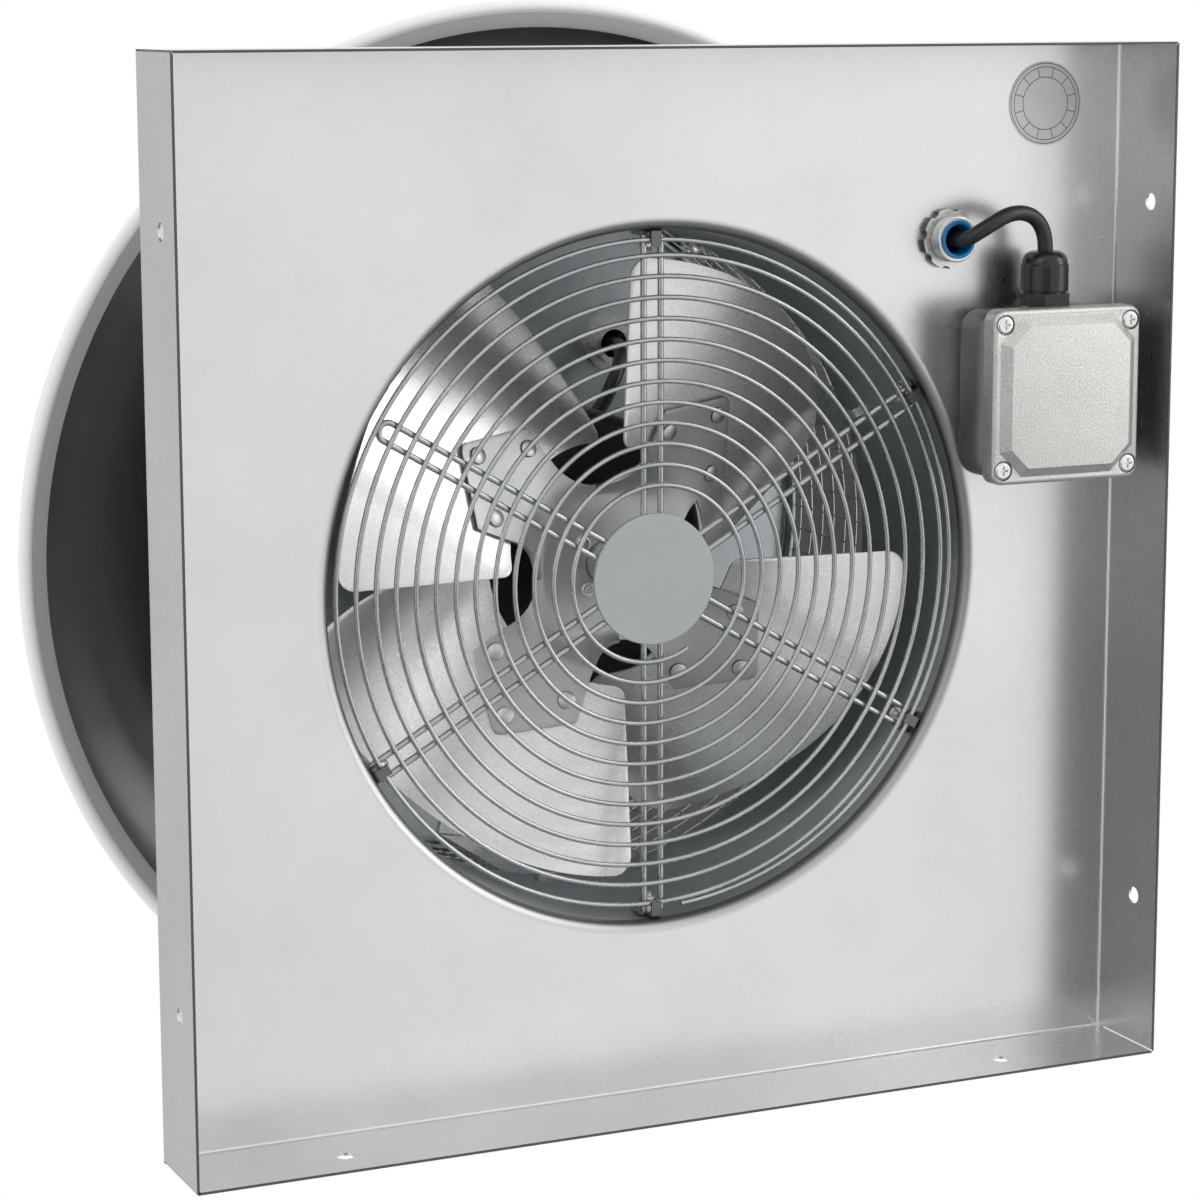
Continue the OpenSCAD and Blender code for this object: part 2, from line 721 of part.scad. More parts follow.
// A scallop starts where its circle touches the straight side of the arm
scallop_foot = scallop_far * [cos(45), sin(45)]
    + scallop_round * [side_slope, -1] / norm([1, side_slope]);
scallop_start = atan2(scallop_foot[1], scallop_foot[0]);
function arm_edge(a) = a <= scallop_start ? pointed(a) : scallop_far * cos(45 - a)
    - sqrt(pow(scallop_round, 2) - pow(scallop_far * sin(45 - a), 2));
function off_arm(a) = abs(((a - arm_turn + 405) % 90) - 45);
function smooth(x) = let (t = min(max(x, 0), 1)) t * t * (3 - 2 * t);
function spider_height(r, a) =
    let (b = ((a + 6.6 + 360) % 90) - 6.6,
        rise = blade_height(max(r, 30), b)
            - lean(max(r, 30), b) * (blade_t / 2 + spider_t / 2 + spider_gap),
        w = smooth((r - spider_flat_r) / (root_r - 5 - spider_flat_r)))
    hub_z * (1 - w) + rise * w;

spider_rings = 9;
spider_flat_r = scallop_r - 6;
// Angles off the arm's middle line, closest together on its straight sides
wing_steps = [-17.9, -12.9, -7.9, -3.9, -2.5, -2, -1.5, -1, -0.4, 0.3, 2.1, 6.1, 11.1, 16.1];
wing_offs = concat([0], [for (s = wing_steps) scallop_start + s], [45]);
spider_angles = [for (q = [0:3], k = [2 - len(wing_offs):len(wing_offs) - 1])
    arm_turn + 90 * q + sign(k) * wing_offs[abs(k)]];
function spider_grid(side) = [for (i = [1:spider_rings]) [for (a = spider_angles)
    let (r = min(arm_edge(off_arm(a)), arm_reach - 1.5) * i / spider_rings)
    polar(r, a, spider_height(r, a) + side * spider_t / 2)]];

module spider_body() {
    n = len(spider_angles);
    m = spider_rings;
    function at(g, i, j) = (g * m + i) * n + j % n;
    function quad(a, b, c, d) = [[a, b, c], [a, c, d]];
    lower = spider_grid(-1);
    upper = spider_grid(1);
    centre = 2 * m * n;
    fans = [for (j = [0:n - 1], g = [0, 1])
        g == 1 ? [centre + 1, at(1, 0, j + 1), at(1, 0, j)] : [centre, at(0, 0, j), at(0, 0, j + 1)]];
    faces = [for (i = [0:m - 2], j = [0:n - 1], t = [0, 1], g = [0, 1])
        g == 1 ? quad(at(1, i, j), at(1, i, j + 1), at(1, i + 1, j + 1), at(1, i + 1, j))[t]
            : quad(at(0, i, j), at(0, i + 1, j), at(0, i + 1, j + 1), at(0, i, j + 1))[t]];
    rim = [for (j = [0:n - 1], t = [0, 1])
        quad(at(0, m - 1, j), at(1, m - 1, j), at(1, m - 1, j + 1), at(0, m - 1, j + 1))[t]];
    points = concat([for (g = [lower, upper]) for (row = g) for (p = row) p],
        [[0, 0, hub_z - spider_t / 2], [0, 0, hub_z + spider_t / 2]]);
    polyhedron(points, concat(fans, faces, rim));
}

module spider() {
    color("lightgray") difference() {
        spider_body();
        translate([0, 0, hub_z - spider_t]) cylinder(r = boss_r + fit, h = 2 * spider_t);
        turn(arm_angles) translate([hub_screw_r, 0, hub_z - spider_t])
            cylinder(d = hub_screw_d + 2 * fit, h = 2 * spider_t);
        turn([0, 90, 180, 270]) rivet_holes();
    }
}

module rivets() {
    grip = blade_t / 2 + seat;
    front = blade_t / 2 + spider_t + spider_gap + 0.15;
    color("whitesmoke") turn([0, 90, 180, 270]) at_rivets() {
        translate([0, 0, -front]) cylinder(d = rivet_d, h = front + grip);
        translate([0, 0, -front]) rivet_head(rivet_d * 0.9, 1.6);
        translate([0, 0, grip]) cylinder(r = rivet_d * 0.75, h = 1.4);
    }
}

module rivet_head(r, h) {
    big = (r * r + h * h) / (2 * h);
    rotate_extrude() intersection() {
        translate([0, big - h]) circle(big);
        translate([0, -h]) square([r, h]);
    }
}

// Wire guard. The spiral is made of half circles whose centres change sides.
module wire_arc(r, a) {
    rotate_extrude(angle = a) translate([r, 0]) circle(wire_r);
}

module guard_spiral() {
    end_r = disc_d / 2 + wire_d + 3;
    halves = floor((ring_r - end_r) / (spiral_pitch / 2)) - 1;
    color("darkgray") translate([0, 0, guard_z]) {
        rotate([0, 0, 180]) wire_arc(ring_r, ring_turn);
        for (k = [0:halves - 1]) {
            r = ring_r - spiral_pitch / 4 * (2 * k + 1);
            side = k % 2 == 0 ? 1 : -1;
            translate([-side * spiral_pitch / 4, 0, 0])
                rotate([0, 0, k % 2 == 0 ? 0 : 180]) wire_arc(r, 180);
        }
        last_r = ring_r - spiral_pitch / 4 * (2 * halves + 1);
        last_side = halves % 2 == 0 ? 1 : -1;
        translate([-last_side * spiral_pitch / 4, 0, 0])
            rotate([0, 0, (halves % 2 == 0 ? 0 : 180) + 60]) wire_arc(last_r, 120);
    }
}

// One radial wire of a spoke, from under the disc to the throat
module spoke_wire(r1) {
    rod_x(spoke_r, disc_d / 4 - 1, r1);
}

module bent_spoke_wire() {
    spoke_wire(spoke_end - spoke_bend);
    translate([spoke_end - spoke_bend, 0, spoke_bend]) rotate([90, 0, 0]) rotate([0, 0, -90])
        rotate_extrude(angle = 90) translate([spoke_bend, 0]) circle(spoke_r);
    translate([spoke_end, 0, spoke_bend]) cylinder(r = spoke_r, h = spoke_up);
}

module guard_spokes() {
    color("darkgray") translate([0, 0, spoke_z]) {
        turn([-90, -30, 30, 90, 150]) for (s = [-1, 1])
            translate([0, s * spoke_gap / 2, 0]) bent_spoke_wire();
        rotate([0, 0, 210]) {
            u_x = ring_r - spoke_gap / 2 - wire_d;
            for (s = [-1, 1]) translate([0, s * spoke_gap / 2, 0]) spoke_wire(u_x);
            translate([u_x, 0, 0]) rotate([0, 0, -90]) rotate_extrude(angle = 180)
                translate([spoke_gap / 2, 0]) circle(spoke_r);
        }
    }
}

module guard_disc() {
    edge = disc_t * 0.4;
    top = spoke_z - spoke_r - seat / 2;
    color([0.65, 0.66, 0.66]) rotate_extrude() union() {
        translate([0, top - disc_t]) square([disc_d / 2 - edge, disc_t]);
        translate([0, top - disc_t + edge]) square([disc_d / 2, disc_t - edge]);
        translate([disc_d / 2 - edge, top - disc_t + edge]) circle(edge);
    }
}

module guard_clips() {
    clip_deg = clip_w / throat_r * deg;
    outer = throat_r - seat / 2;
    bend = clip_t + 0.6;
    color("silver") turn(clip_angles) difference() {
        rotate([0, 0, -clip_deg / 2]) rotate_extrude(angle = clip_deg) union() {
            translate([ring_r - 3.5, clip_z]) square([outer - bend - ring_r + 3.5, clip_t]);
            translate([outer - clip_t, clip_z + bend]) square([clip_t, clip_h - bend]);
            translate([outer - bend, clip_z + bend]) intersection() {
                difference() {
                    circle(bend);
                    circle(bend - clip_t);
                }
                translate([0, -bend]) square(bend);
            }
        }
        translate([0, 0, clip_screw_z]) rod_x(clip_screw_d / 2 + seat, throat_r - 8, throat_r + 1);
    }
}

module clip_screws() {
    head_x = throat_r - clip_t - seat;
    color("gainsboro") turn(clip_angles) translate([0, 0, clip_screw_z]) {
        translate([head_x, 0, 0]) rotate([0, 90, 0])
            pan_head(clip_screw_d * 0.95, clip_screw_d * 0.6, clip_screw_d * 0.5);
        rod_x(clip_screw_d / 2, head_x, throat_or + clip_screw_d);
        hex_x(clip_screw_d * 1.8, throat_or + fit, throat_or + clip_screw_d * 0.8);
    }
}

// Hood: shallow crown, round shoulder, short skirt with a bead and an inner lip
module hood_section() {
    difference() {
        union() {
            intersection() {
                translate([0, crown_z]) circle(crown_r, $fn = 180);
                polygon([[0, crown_z], [0, crown_z + crown_r + 1],
                    [(shoulder_x) * 2, crown_z + 2 * (shoulder_z - crown_z)]]);
            }
            translate([shoulder_x, shoulder_z]) circle(shoulder_r);
            translate([0, rim_z]) square([shoulder_x, shoulder_z - rim_z]);
            translate([0, rim_z]) square([skirt_r, skirt_h]);
        }
        intersection() {
            translate([0, crown_z]) circle(crown_r - hood_t, $fn = 180);
            polygon([[-1, crown_z], [-1, crown_z + crown_r + 1],
                [(shoulder_x) * 2, crown_z + 2 * (shoulder_z - crown_z)]]);
        }
        translate([shoulder_x, shoulder_z]) circle(shoulder_r - hood_t);
        translate([-1, rim_z + hood_t]) square([skirt_r - hood_t + 1, skirt_h - hood_t]);
        translate([-1, rim_z - 1]) square([skirt_r - hood_lip + 1, skirt_h]);
        translate([-1, 0]) square([shoulder_x + 1, shoulder_z]);
    }
}

module hood() {
    color([0.83, 0.84, 0.85]) difference() {
        rotate_extrude() union() {
            intersection() {
                hood_section();
                translate([0, rim_z - 1]) square([hood_r, crown_r]);
            }
            translate([hood_r - bead_r, rim_z + bead_r]) difference() {
                circle(bead_r);
                circle(bead_r - hood_t);
            }
        }
        turn(leg_angles) translate([post_r, 0, rim_z]) cylinder(d = post_bolt_d + 2 * seat, h = 300);
    }
}

module crown_ball(r) {
    translate([0, 0, crown_z]) rotate_extrude($fn = 180) intersection() {
        circle(r, $fn = 180);
        translate([0, -r]) square([r, 2 * r]);
    }
}

module hood_posts() {
    color("silver") turn(leg_angles) difference() {
        intersection() {
            translate([post_r, 0, deck_top]) cylinder(d = post_d, h = 200);
            crown_ball(crown_r - hood_t - seat);
        }
        translate([post_r, 0, deck_top - 1]) cylinder(d = post_bolt_d + 2 * fit, h = 220);
    }
}

module post_bolts() {
    head = post_bolt_d * 0.7;
    color("lightgray") turn(leg_angles) translate([post_r, 0, 0]) {
        hex_z(post_bolt_d * 1.7, deck_z - leg_t - head, deck_z - leg_t);
        translate([0, 0, deck_z - leg_t])
            cylinder(d = post_bolt_d, h = post_bolt_top - deck_z + leg_t);
    }
}

module hood_nuts() {
    color("whitesmoke") turn(leg_angles) difference() {
        translate([post_r, 0, 0]) union() {
            translate([0, 0, deck_top]) cylinder(d = post_bolt_d * 2.6, h = post_bolt_top - deck_top - 4);
            hex_z(post_bolt_d * 1.7, deck_top, post_bolt_top - 1);
            translate([0, 0, post_bolt_top - 1.5]) sphere(d = post_bolt_d * 1.6);
        }
        crown_ball(crown_r + seat / 2);
        translate([post_r, 0, deck_top])
            cylinder(d = post_bolt_d + 2 * fit, h = post_bolt_top - deck_top + fit);
    }
}

// Terminal box
module at_box() {
    translate([box_x, -box_y, 0]) children();
}

module lid_screw_places() {
    at_box() for (x = [-1, 1], y = [-1, 1])
        translate([x * (lid_w / 2 - lid_screw_in), y * (lid_l / 2 - lid_screw_in - 1.2), 0]) children();
}

module box_screw_places() {
    at_box() for (y = [-1, 1]) translate([0, y * body_l / 4, 0]) children();
}

module box_body() {
    color([0.72, 0.72, 0.71]) difference() {
        union() {
            at_box() translate([0, 0, body_z]) linear_extrude(plate_under - body_z)
                round_rect(body_w, body_l, body_corner);
            lid_screw_places() translate([0, 0, body_z]) cylinder(r = lid_screw_in - 0.5, h = 18);
        }
        difference() {
            at_box() translate([0, 0, body_z - 1])
                linear_extrude(plate_under - body_z - box_wall + 1)
                    round_rect(body_w - 2 * box_wall, body_l - 2 * box_wall, body_corner - box_wall);
            lid_screw_places() translate([0, 0, body_z - 2]) cylinder(r = lid_screw_in - 0.5, h = 20);
        }
        lid_screw_places() translate([0, 0, body_z - 1]) cylinder(d = lid_screw_d + 2 * fit, h = 15);
        box_screw_places() translate([0, 0, plate_under - box_wall - 1])
            cylinder(d = lid_screw_d + 2 * fit, h = box_wall + 2);
        translate([gland_x, gland_y + body_inset, gland_z]) rotate([90, 0, 0])
            cylinder(r = gland_thread_r + fit, h = 3 * box_wall, center = true);
    }
}

module box_gasket() {
    color([0.1, 0.1, 0.1]) difference() {
        at_box() translate([0, 0, gasket_z]) linear_extrude(gasket_t) difference() {
            round_rect(body_w, body_l, body_corner);
            round_rect(body_w - 2 * box_wall, body_l - 2 * box_wall, body_corner - box_wall);
        }
        lid_screw_places() translate([0, 0, gasket_z - 1])
            cylinder(r = lid_screw_d / 2 + 0.5, h = gasket_t + 2);
    }
}

// Raised panel with its corners cut at 45 degrees
module panel_outline(w, l, cut) {
    polygon([[cut - w / 2, -l / 2], [w / 2 - cut, -l / 2], [w / 2, cut - l / 2], [w / 2, l / 2 - cut],
        [w / 2 - cut, l / 2], [cut - w / 2, l / 2], [-w / 2, l / 2 - cut], [-w / 2, cut - l / 2]]);
}

module box_lid() {
    margin = 9;
    panel_cut = 14;
    front_t = 3.5;
    head_r = lid_screw_d * 1.15;
    color([0.78, 0.78, 0.77]) difference() {
        union() {
            at_box() translate([0, 0, lid_z]) linear_extrude(lid_h) round_rect(lid_w, lid_l, lid_corner);
            at_box() hull() {
                translate([0, 0, lid_z]) linear_extrude(1)
                    panel_outline(lid_w - 2 * margin, lid_l - 2 * margin, panel_cut);
                translate([0, 0, lid_z - panel_h]) linear_extrude(1)
                    panel_outline(lid_w - 2 * margin - 2 * panel_h, lid_l - 2 * margin - 2 * panel_h,
                        panel_cut - 0.6 * panel_h);
            }
        }
        difference() {
            at_box() translate([0, 0, lid_z + front_t]) linear_extrude(lid_h)
                round_rect(lid_w - 2 * box_wall, lid_l - 2 * box_wall, lid_corner - box_wall / 2);
            lid_screw_places() cylinder(r = lid_screw_in - 0.5, h = plate_under);
        }
        lid_screw_places() translate([0, 0, lid_z - 1]) cylinder(r = head_r + 0.4, h = 3.2);
        lid_screw_places() translate([0, 0, lid_z - 1]) cylinder(d = lid_screw_d + 2 * fit, h = lid_h + 2);
    }
}

module lid_screws() {
    color("gainsboro") lid_screw_places() translate([0, 0, lid_z + 2.2]) {
        pan_head(lid_screw_d * 1.1, 2.6, lid_screw_d * 0.6);
        cylinder(d = lid_screw_d, h = lid_h + gasket_t + 8);
    }
}

module box_screws() {
    color("silver") box_screw_places() translate([0, 0, plate_under - box_wall]) {
        pan_head(lid_screw_d, 2.4, lid_screw_d * 0.6);
        cylinder(d = lid_screw_d, h = box_wall + sheet_t + lid_screw_d);
        hex_z(lid_screw_d * 1.8, box_wall + sheet_t + fit, box_wall + sheet_t + lid_screw_d * 0.8);
    }
}

// Cable gland, built outwards from the lid's edge
module at_gland() {
    translate([gland_x, gland_y, gland_z]) rotate([90, 0, 0]) children();
}

module gland_body() {
    color([0.1, 0.1, 0.1]) at_gland() difference() {
        union() {
            translate([0, 0, -body_inset - box_wall - 4])
                cylinder(r = gland_thread_r, h = body_inset + box_wall + 5);
            hex_z(2 * gland_nut_r - 2.8, 0, hex_l);
            translate([0, 0, hex_l - 1]) cylinder(r = gland_nut_r - 3, h = nut_l - 2);
        }
        translate([0, 0, -50]) cylinder(d = lead_d + 1, h = 100);
        translate([0, 0, hex_l + 4]) cylinder(r = lead_d / 2 + 3 + fit, h = 50);
    }
}

module gland_nut() {
    nut_z = hex_l + 0.6;
    ribs = 24;
    dome_r = 6;
    color([0.12, 0.12, 0.12]) at_gland() difference() {
        rotate_extrude() union() {
            translate([0, nut_z]) square([gland_nut_r, nut_l]);
            translate([0, nut_z + nut_l - 1]) square([gland_nut_r - 1 - dome_r, dome_l + 1]);
            translate([gland_nut_r - 1 - dome_r, nut_z + nut_l + dome_l - dome_r]) circle(dome_r);
        }
        translate([0, 0, nut_z - 1]) cylinder(r = gland_nut_r - 3 + fit, h = nut_l);
        translate([0, 0, nut_z]) cylinder(r = lead_d / 2 + 0.4, h = 60);
        turn([for (k = [0:ribs - 1]) 360 / ribs * k])
            translate([gland_nut_r + 0.6, 0, nut_z - 1]) cylinder(r = 1.1, h = nut_l - 0.5, $fn = 16);
    }
}

module gland_seal() {
    color([0.2, 0.2, 0.2]) at_gland()
        ring(lead_d / 2 + fit, lead_d / 2 + 3, hex_l + 4 + seat, hex_l + nut_l - 3.5);
}

// Conduit with its connector on the plate and its elbow on the motor deck
module at_entry() {
    translate([entry[0], entry[1], 0]) rotate([0, 0, run_angle]) children();
}

module conduit_connector() {
    color("silver") at_entry() difference() {
        union() {
            ring(0, nipple_r, plate_under - nipple_drop, plate_top + 1);
            ring(0, clamp_r, plate_top, plate_top + clamp_l);
            translate([0, 0, plate_top]) ring(0, clamp_r + 1.5, 0, 3);
        }
        translate([0, 0, 0]) cylinder(r = nipple_bore_r, h = 200);
        translate([0, 0, plate_top + 4]) cylinder(r = conduit_r + fit, h = 200);
    }
}

module conduit_locknut() {
    lobes = 8;
    nut_r = nipple_r + 4.3;
    color("gainsboro") at_entry() difference() {
        ring(nipple_r + fit, nut_r, plate_under - 3.6, plate_under);
        turn([for (k = [0:lobes - 1]) 360 / lobes * k])
            translate([nut_r + 1.6, 0, plate_under - 5]) cylinder(r = 3, h = 6);
    }
}

module conduit_bushing() {
    z0 = plate_under - nipple_drop;
    color([0.02, 0.4, 0.62]) at_entry() {
        ring(lead_d / 2 + 1.4, nipple_r + 0.6, z0 - 1.4, z0);
        ring(lead_d / 2 + 1.4, nipple_bore_r - seat, z0, z0 + 7);
    }
}

module conduit_rib() {
    foot = conduit_core - 0.5;
    half = rib_pitch * 0.36;
    translate([0, 0, -half]) cylinder(r1 = foot, r2 = conduit_r, h = half);
    cylinder(r1 = conduit_r, r2 = foot, h = half);
}

// Straight length from z0 to z1 whose first and last rib stand clear of the ends
module conduit_straight(z0, z1) {
    ribs = floor((z1 - z0) / rib_pitch);
    pitch = (z1 - z0) / ribs;
    rotate_extrude() polygon(concat([[0, z0], [conduit_core, z0]],
        [for (k = [0:ribs - 1], p = [[conduit_core, 0.2], [conduit_r, 0.5], [conduit_core, 0.8]])
            [p[0], z0 + (k + p[1]) * pitch]],
        [[conduit_core, z1], [0, z1]]));
}

module conduit() {
    bore = conduit_r - 2.2;
    bend_z = run_z - conduit_bend;
    ribs = floor(conduit_bend * PI / 2 / rib_pitch);
    color([0.6, 0.61, 0.62]) at_entry() difference() {
        union() {
            conduit_straight(plate_top + 4 + seat, bend_z);
            translate([conduit_bend, 0, bend_z]) rotate([90, 0, 0]) rotate([0, 0, 90])
                rotate_extrude(angle = 90) translate([conduit_bend, 0]) circle(conduit_core);
            for (k = [0:ribs - 1])
                translate([conduit_bend, 0, bend_z]) rotate([0, (k + 0.5) * 90 / ribs, 0])
                    translate([-conduit_bend, 0, 0]) conduit_rib();
            translate([0, 0, run_z]) rotate([0, 90, 0])
                conduit_straight(conduit_bend, run_len - 4 - elbow_r);
        }
        translate([0, 0, plate_top]) cylinder(r = bore, h = bend_z - plate_top);
        translate([conduit_bend, 0, bend_z]) rotate([90, 0, 0]) rotate([0, 0, 90])
            rotate_extrude(angle = 90) translate([conduit_bend, 0]) circle(bore);
        translate([0, 0, run_z]) rod_x(bore, conduit_bend, run_len);
    }
}

module conduit_elbow() {
    color("silver") at_entry() translate([run_len, 0, 0]) difference() {
        union() {
            ring(0, elbow_r, deck_z - 8, run_z);
            ring(0, elbow_r + 2.6, deck_top, deck_top + 3);
            translate([0, 0, run_z]) sphere(elbow_r);
            translate([0, 0, run_z]) rotate([0, 0, 180]) rod_x(clamp_r, elbow_r - 1, elbow_reach);
            translate([0, 0, run_z]) rotate([0, 0, 180]) rod_x(elbow_r, 0, elbow_r);
            ring(elbow_r - 1, elbow_r + 4, deck_z - 3.6, deck_z);
        }
        translate([0, 0, deck_z - 10]) cylinder(r = nipple_bore_r, h = run_z - deck_z + 10);
        translate([0, 0, run_z]) rotate([0, 0, 180]) rod_x(nipple_bore_r, 0, 60);
        translate([0, 0, run_z]) rotate([0, 0, 180]) rod_x(conduit_r + fit, elbow_r + 4 - seat, 60);
    }
}

// Lead from the gland through the conduit to the motor, swept along its route
lead_route = [[199, -112, 30], [199, -128, 30], [199, -144, 30], [199, -154, 30], [198.2, -160, 29.8],
    [196, -165, 29.4], [192, -169, 28.6], [186.5, -171.4, 27.6], [180, -172, 26.6],
    [173, -170.5, 25.8], [166.5, -167.3, 26], [161, -163.7, 28], [157.6, -160.8, 31.6],
    [155.9, -159.4, 36.6], [155.5, -159.1, 43], [155.5, -159.1, 52], [155.5, -159.1, 90],
    [155.5, -159.1, 130], [155.5, -159.1, 170], [155.5, -159.1, 215], [155.5, -159.1, 223],
    [152.6, -157, 242], [144.3, -151.1, 258.4], [132, -142.2, 269.1], [115, -130, 273.5],
    [95, -115.4, 273.5], [77, -102.4, 273], [69, -96.4, 269.5], [66, -94, 262], [66, -94, 250],
    [65.6, -93.4, 241], [63, -89.5, 232], [58.5, -82.5, 226], [54, -75.5, 223], [49, -67, 222],
    [43, -58.5, 222]];
lead_sides = 10;

function unit(v) = v / norm(v);
function heading(p, i) = unit(p[min(i + 1, len(p) - 1)] - p[max(i - 1, 0)]);
function carry(p, i, n) = i >= len(p) ? []
    : let (t = heading(p, i), m = unit(n - (n * t) * t)) concat([m], carry(p, i + 1, m));

module swept_tube(p, r, sides) {
    m = len(p);
    side_vecs = carry(p, 0, [0, 0, 1]);
    points = [for (i = [0:m - 1]) let (u = side_vecs[i], v = cross(heading(p, i), u))
        for (k = [0:sides - 1]) p[i] + r * (cos(360 * k / sides) * u + sin(360 * k / sides) * v)];
    walls = [for (i = [0:m - 2], k = [0:sides - 1], t = [0, 1])
        let (a = i * sides + k, b = i * sides + (k + 1) % sides)
        t == 0 ? [a, a + sides, b + sides] : [a, b + sides, b]];
    caps = [[for (k = [0:sides - 1]) k], [for (k = [sides - 1:-1:0]) (m - 1) * sides + k]];
    polyhedron(points, concat(walls, caps));
}

module lead() {
    color([0.1, 0.1, 0.1]) swept_tube(lead_route, lead_d / 2, lead_sides);
}

module label_disc() {
    color("white") translate([label_x, label_y, plate_under - 0.3]) cylinder(d = label_d, h = 0.3);
}

curb_cap();
throat();
support_leg_1();
support_leg_2();
support_leg_3();
leg_bolts();
motor_deck();
bird_screen();
motor_shell();
lower_bell();
upper_bell();
lower_bearing();
upper_bearing();
stator();
windings();
motor_studs();
rotor();
motor_shaft();
hub();
hub_screws();
set_screw();
spider();
blade_1();
blade_2();
blade_3();
blade_4();
rivets();
guard_spiral();
guard_spokes();
guard_disc();
guard_clips();
clip_screws();
hood();
hood_posts();
post_bolts();
hood_nuts();
conduit_connector();
conduit_locknut();
conduit_bushing();
conduit();
conduit_elbow();
lead();
box_body();
box_gasket();
box_lid();
lid_screws();
box_screws();
gland_body();
gland_nut();
gland_seal();
label_disc();
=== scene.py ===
import json
import math

import bpy
from mathutils import Matrix, Vector


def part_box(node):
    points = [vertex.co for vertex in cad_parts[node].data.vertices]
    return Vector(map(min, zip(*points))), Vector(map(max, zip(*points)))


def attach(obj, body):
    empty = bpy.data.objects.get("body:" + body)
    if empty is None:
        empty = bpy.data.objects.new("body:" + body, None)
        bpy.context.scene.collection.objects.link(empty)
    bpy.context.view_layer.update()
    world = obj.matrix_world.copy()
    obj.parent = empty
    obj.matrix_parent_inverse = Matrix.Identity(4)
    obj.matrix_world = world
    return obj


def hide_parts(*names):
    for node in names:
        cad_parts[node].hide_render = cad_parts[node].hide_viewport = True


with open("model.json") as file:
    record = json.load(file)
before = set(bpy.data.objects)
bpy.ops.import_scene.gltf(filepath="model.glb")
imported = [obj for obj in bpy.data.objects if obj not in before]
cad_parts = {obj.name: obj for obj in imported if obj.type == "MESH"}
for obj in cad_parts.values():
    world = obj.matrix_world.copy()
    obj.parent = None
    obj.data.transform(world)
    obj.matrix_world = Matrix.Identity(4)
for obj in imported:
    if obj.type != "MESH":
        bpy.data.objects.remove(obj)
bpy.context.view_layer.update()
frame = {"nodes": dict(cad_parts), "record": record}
nodes = frame["nodes"]
mm = 0.001


# Shorthands for building node trees
def addNode(tree, kind, inputs=None, **props):
    node = tree.nodes.new(kind)
    for key, value in props.items():
        setattr(node, key, value)
    for key, value in (inputs or {}).items():
        if isinstance(value, bpy.types.NodeSocket):
            tree.links.new(value, node.inputs[key])
        else:
            node.inputs[key].default_value = value
    return node


def startMaterial(name, values):
    mat = bpy.data.materials.new(name)
    mat.use_nodes = True
    tree = mat.node_tree
    shader = tree.nodes["Principled BSDF"]
    for key, value in values.items():
        shader.inputs[key].default_value = value
    coord = addNode(tree, "ShaderNodeTexCoord").outputs["Object"]
    return mat, tree, shader, coord


def mapped(tree, coord, scale=(1, 1, 1), move=(0, 0, 0)):
    return addNode(tree, "ShaderNodeMapping", {"Vector": coord, "Scale": scale, "Location": move}).outputs[0]


def noise(tree, coord, scale, detail=3.0, rough=0.55):
    return addNode(tree, "ShaderNodeTexNoise",
                   {"Vector": coord, "Scale": scale, "Detail": detail, "Roughness": rough}).outputs["Fac"]


def ranged(tree, value, span, outLow, outHigh):
    return addNode(tree, "ShaderNodeMapRange", {"Value": value, "From Min": span[0], "From Max": span[1],
                   "To Min": outLow, "To Max": outHigh}).outputs["Result"]


# Spans of a value: whole, the middle that a noise keeps to, and the lighter part that makes specks
wholeSpan = (0.0, 1.0)
noiseSpan = (0.3, 0.7)
speckSpan = (0.45, 0.75)


def spread(tree, value, outLow=0.0, outHigh=1.0):
    return ranged(tree, value, noiseSpan, outLow, outHigh)


def math2(tree, operation, a, b=0.0):
    return addNode(tree, "ShaderNodeMath", {0: a, 1: b}, operation=operation).outputs[0]


def product(tree, first, *others):
    for other in others:
        first = math2(tree, "MULTIPLY", first, other)
    return first


def parted(tree, vector):
    return addNode(tree, "ShaderNodeSeparateXYZ", {"Vector": vector}).outputs


def axisDistance(tree, spot):
    squares = [math2(tree, "POWER", spot[axis], 2.0) for axis in ("X", "Y")]
    return math2(tree, "POWER", math2(tree, "ADD", *squares), 0.5)


def geometry(tree, output):
    return addNode(tree, "ShaderNodeNewGeometry").outputs[output]


def mixColor(tree, factor, a, b):
    mix = addNode(tree, "ShaderNodeMix", data_type="RGBA")
    for key, value in ((0, factor), (6, a), (7, b)):
        if isinstance(value, bpy.types.NodeSocket):
            tree.links.new(value, mix.inputs[key])
        else:
            mix.inputs[key].default_value = value
    return mix.outputs[2]


def bump(tree, height, strength, distance, normal=None):
    inputs = {"Height": height, "Strength": strength, "Distance": distance}
    if normal is not None:
        inputs["Normal"] = normal
    return addNode(tree, "ShaderNodeBump", inputs).outputs["Normal"]


def rgb(color):
    return (color[0], color[1], color[2], 1.0)


def grey(tone):
    return (tone, tone, tone)


# Two shares: 1 on the drawn lip round the opening, whose darker grey is painted shade and whose added roughness is
# the zinc rubbed dull, and 1 on its wall, whose darker grey is painted shade
def lipPaintedShade(tree, coord, fold):
    radius = axisDistance(tree, parted(tree, coord))
    return [ranged(tree, radius, fold[span], 1.0, 0.0) for span in ("lipSpan", "wallSpan")]


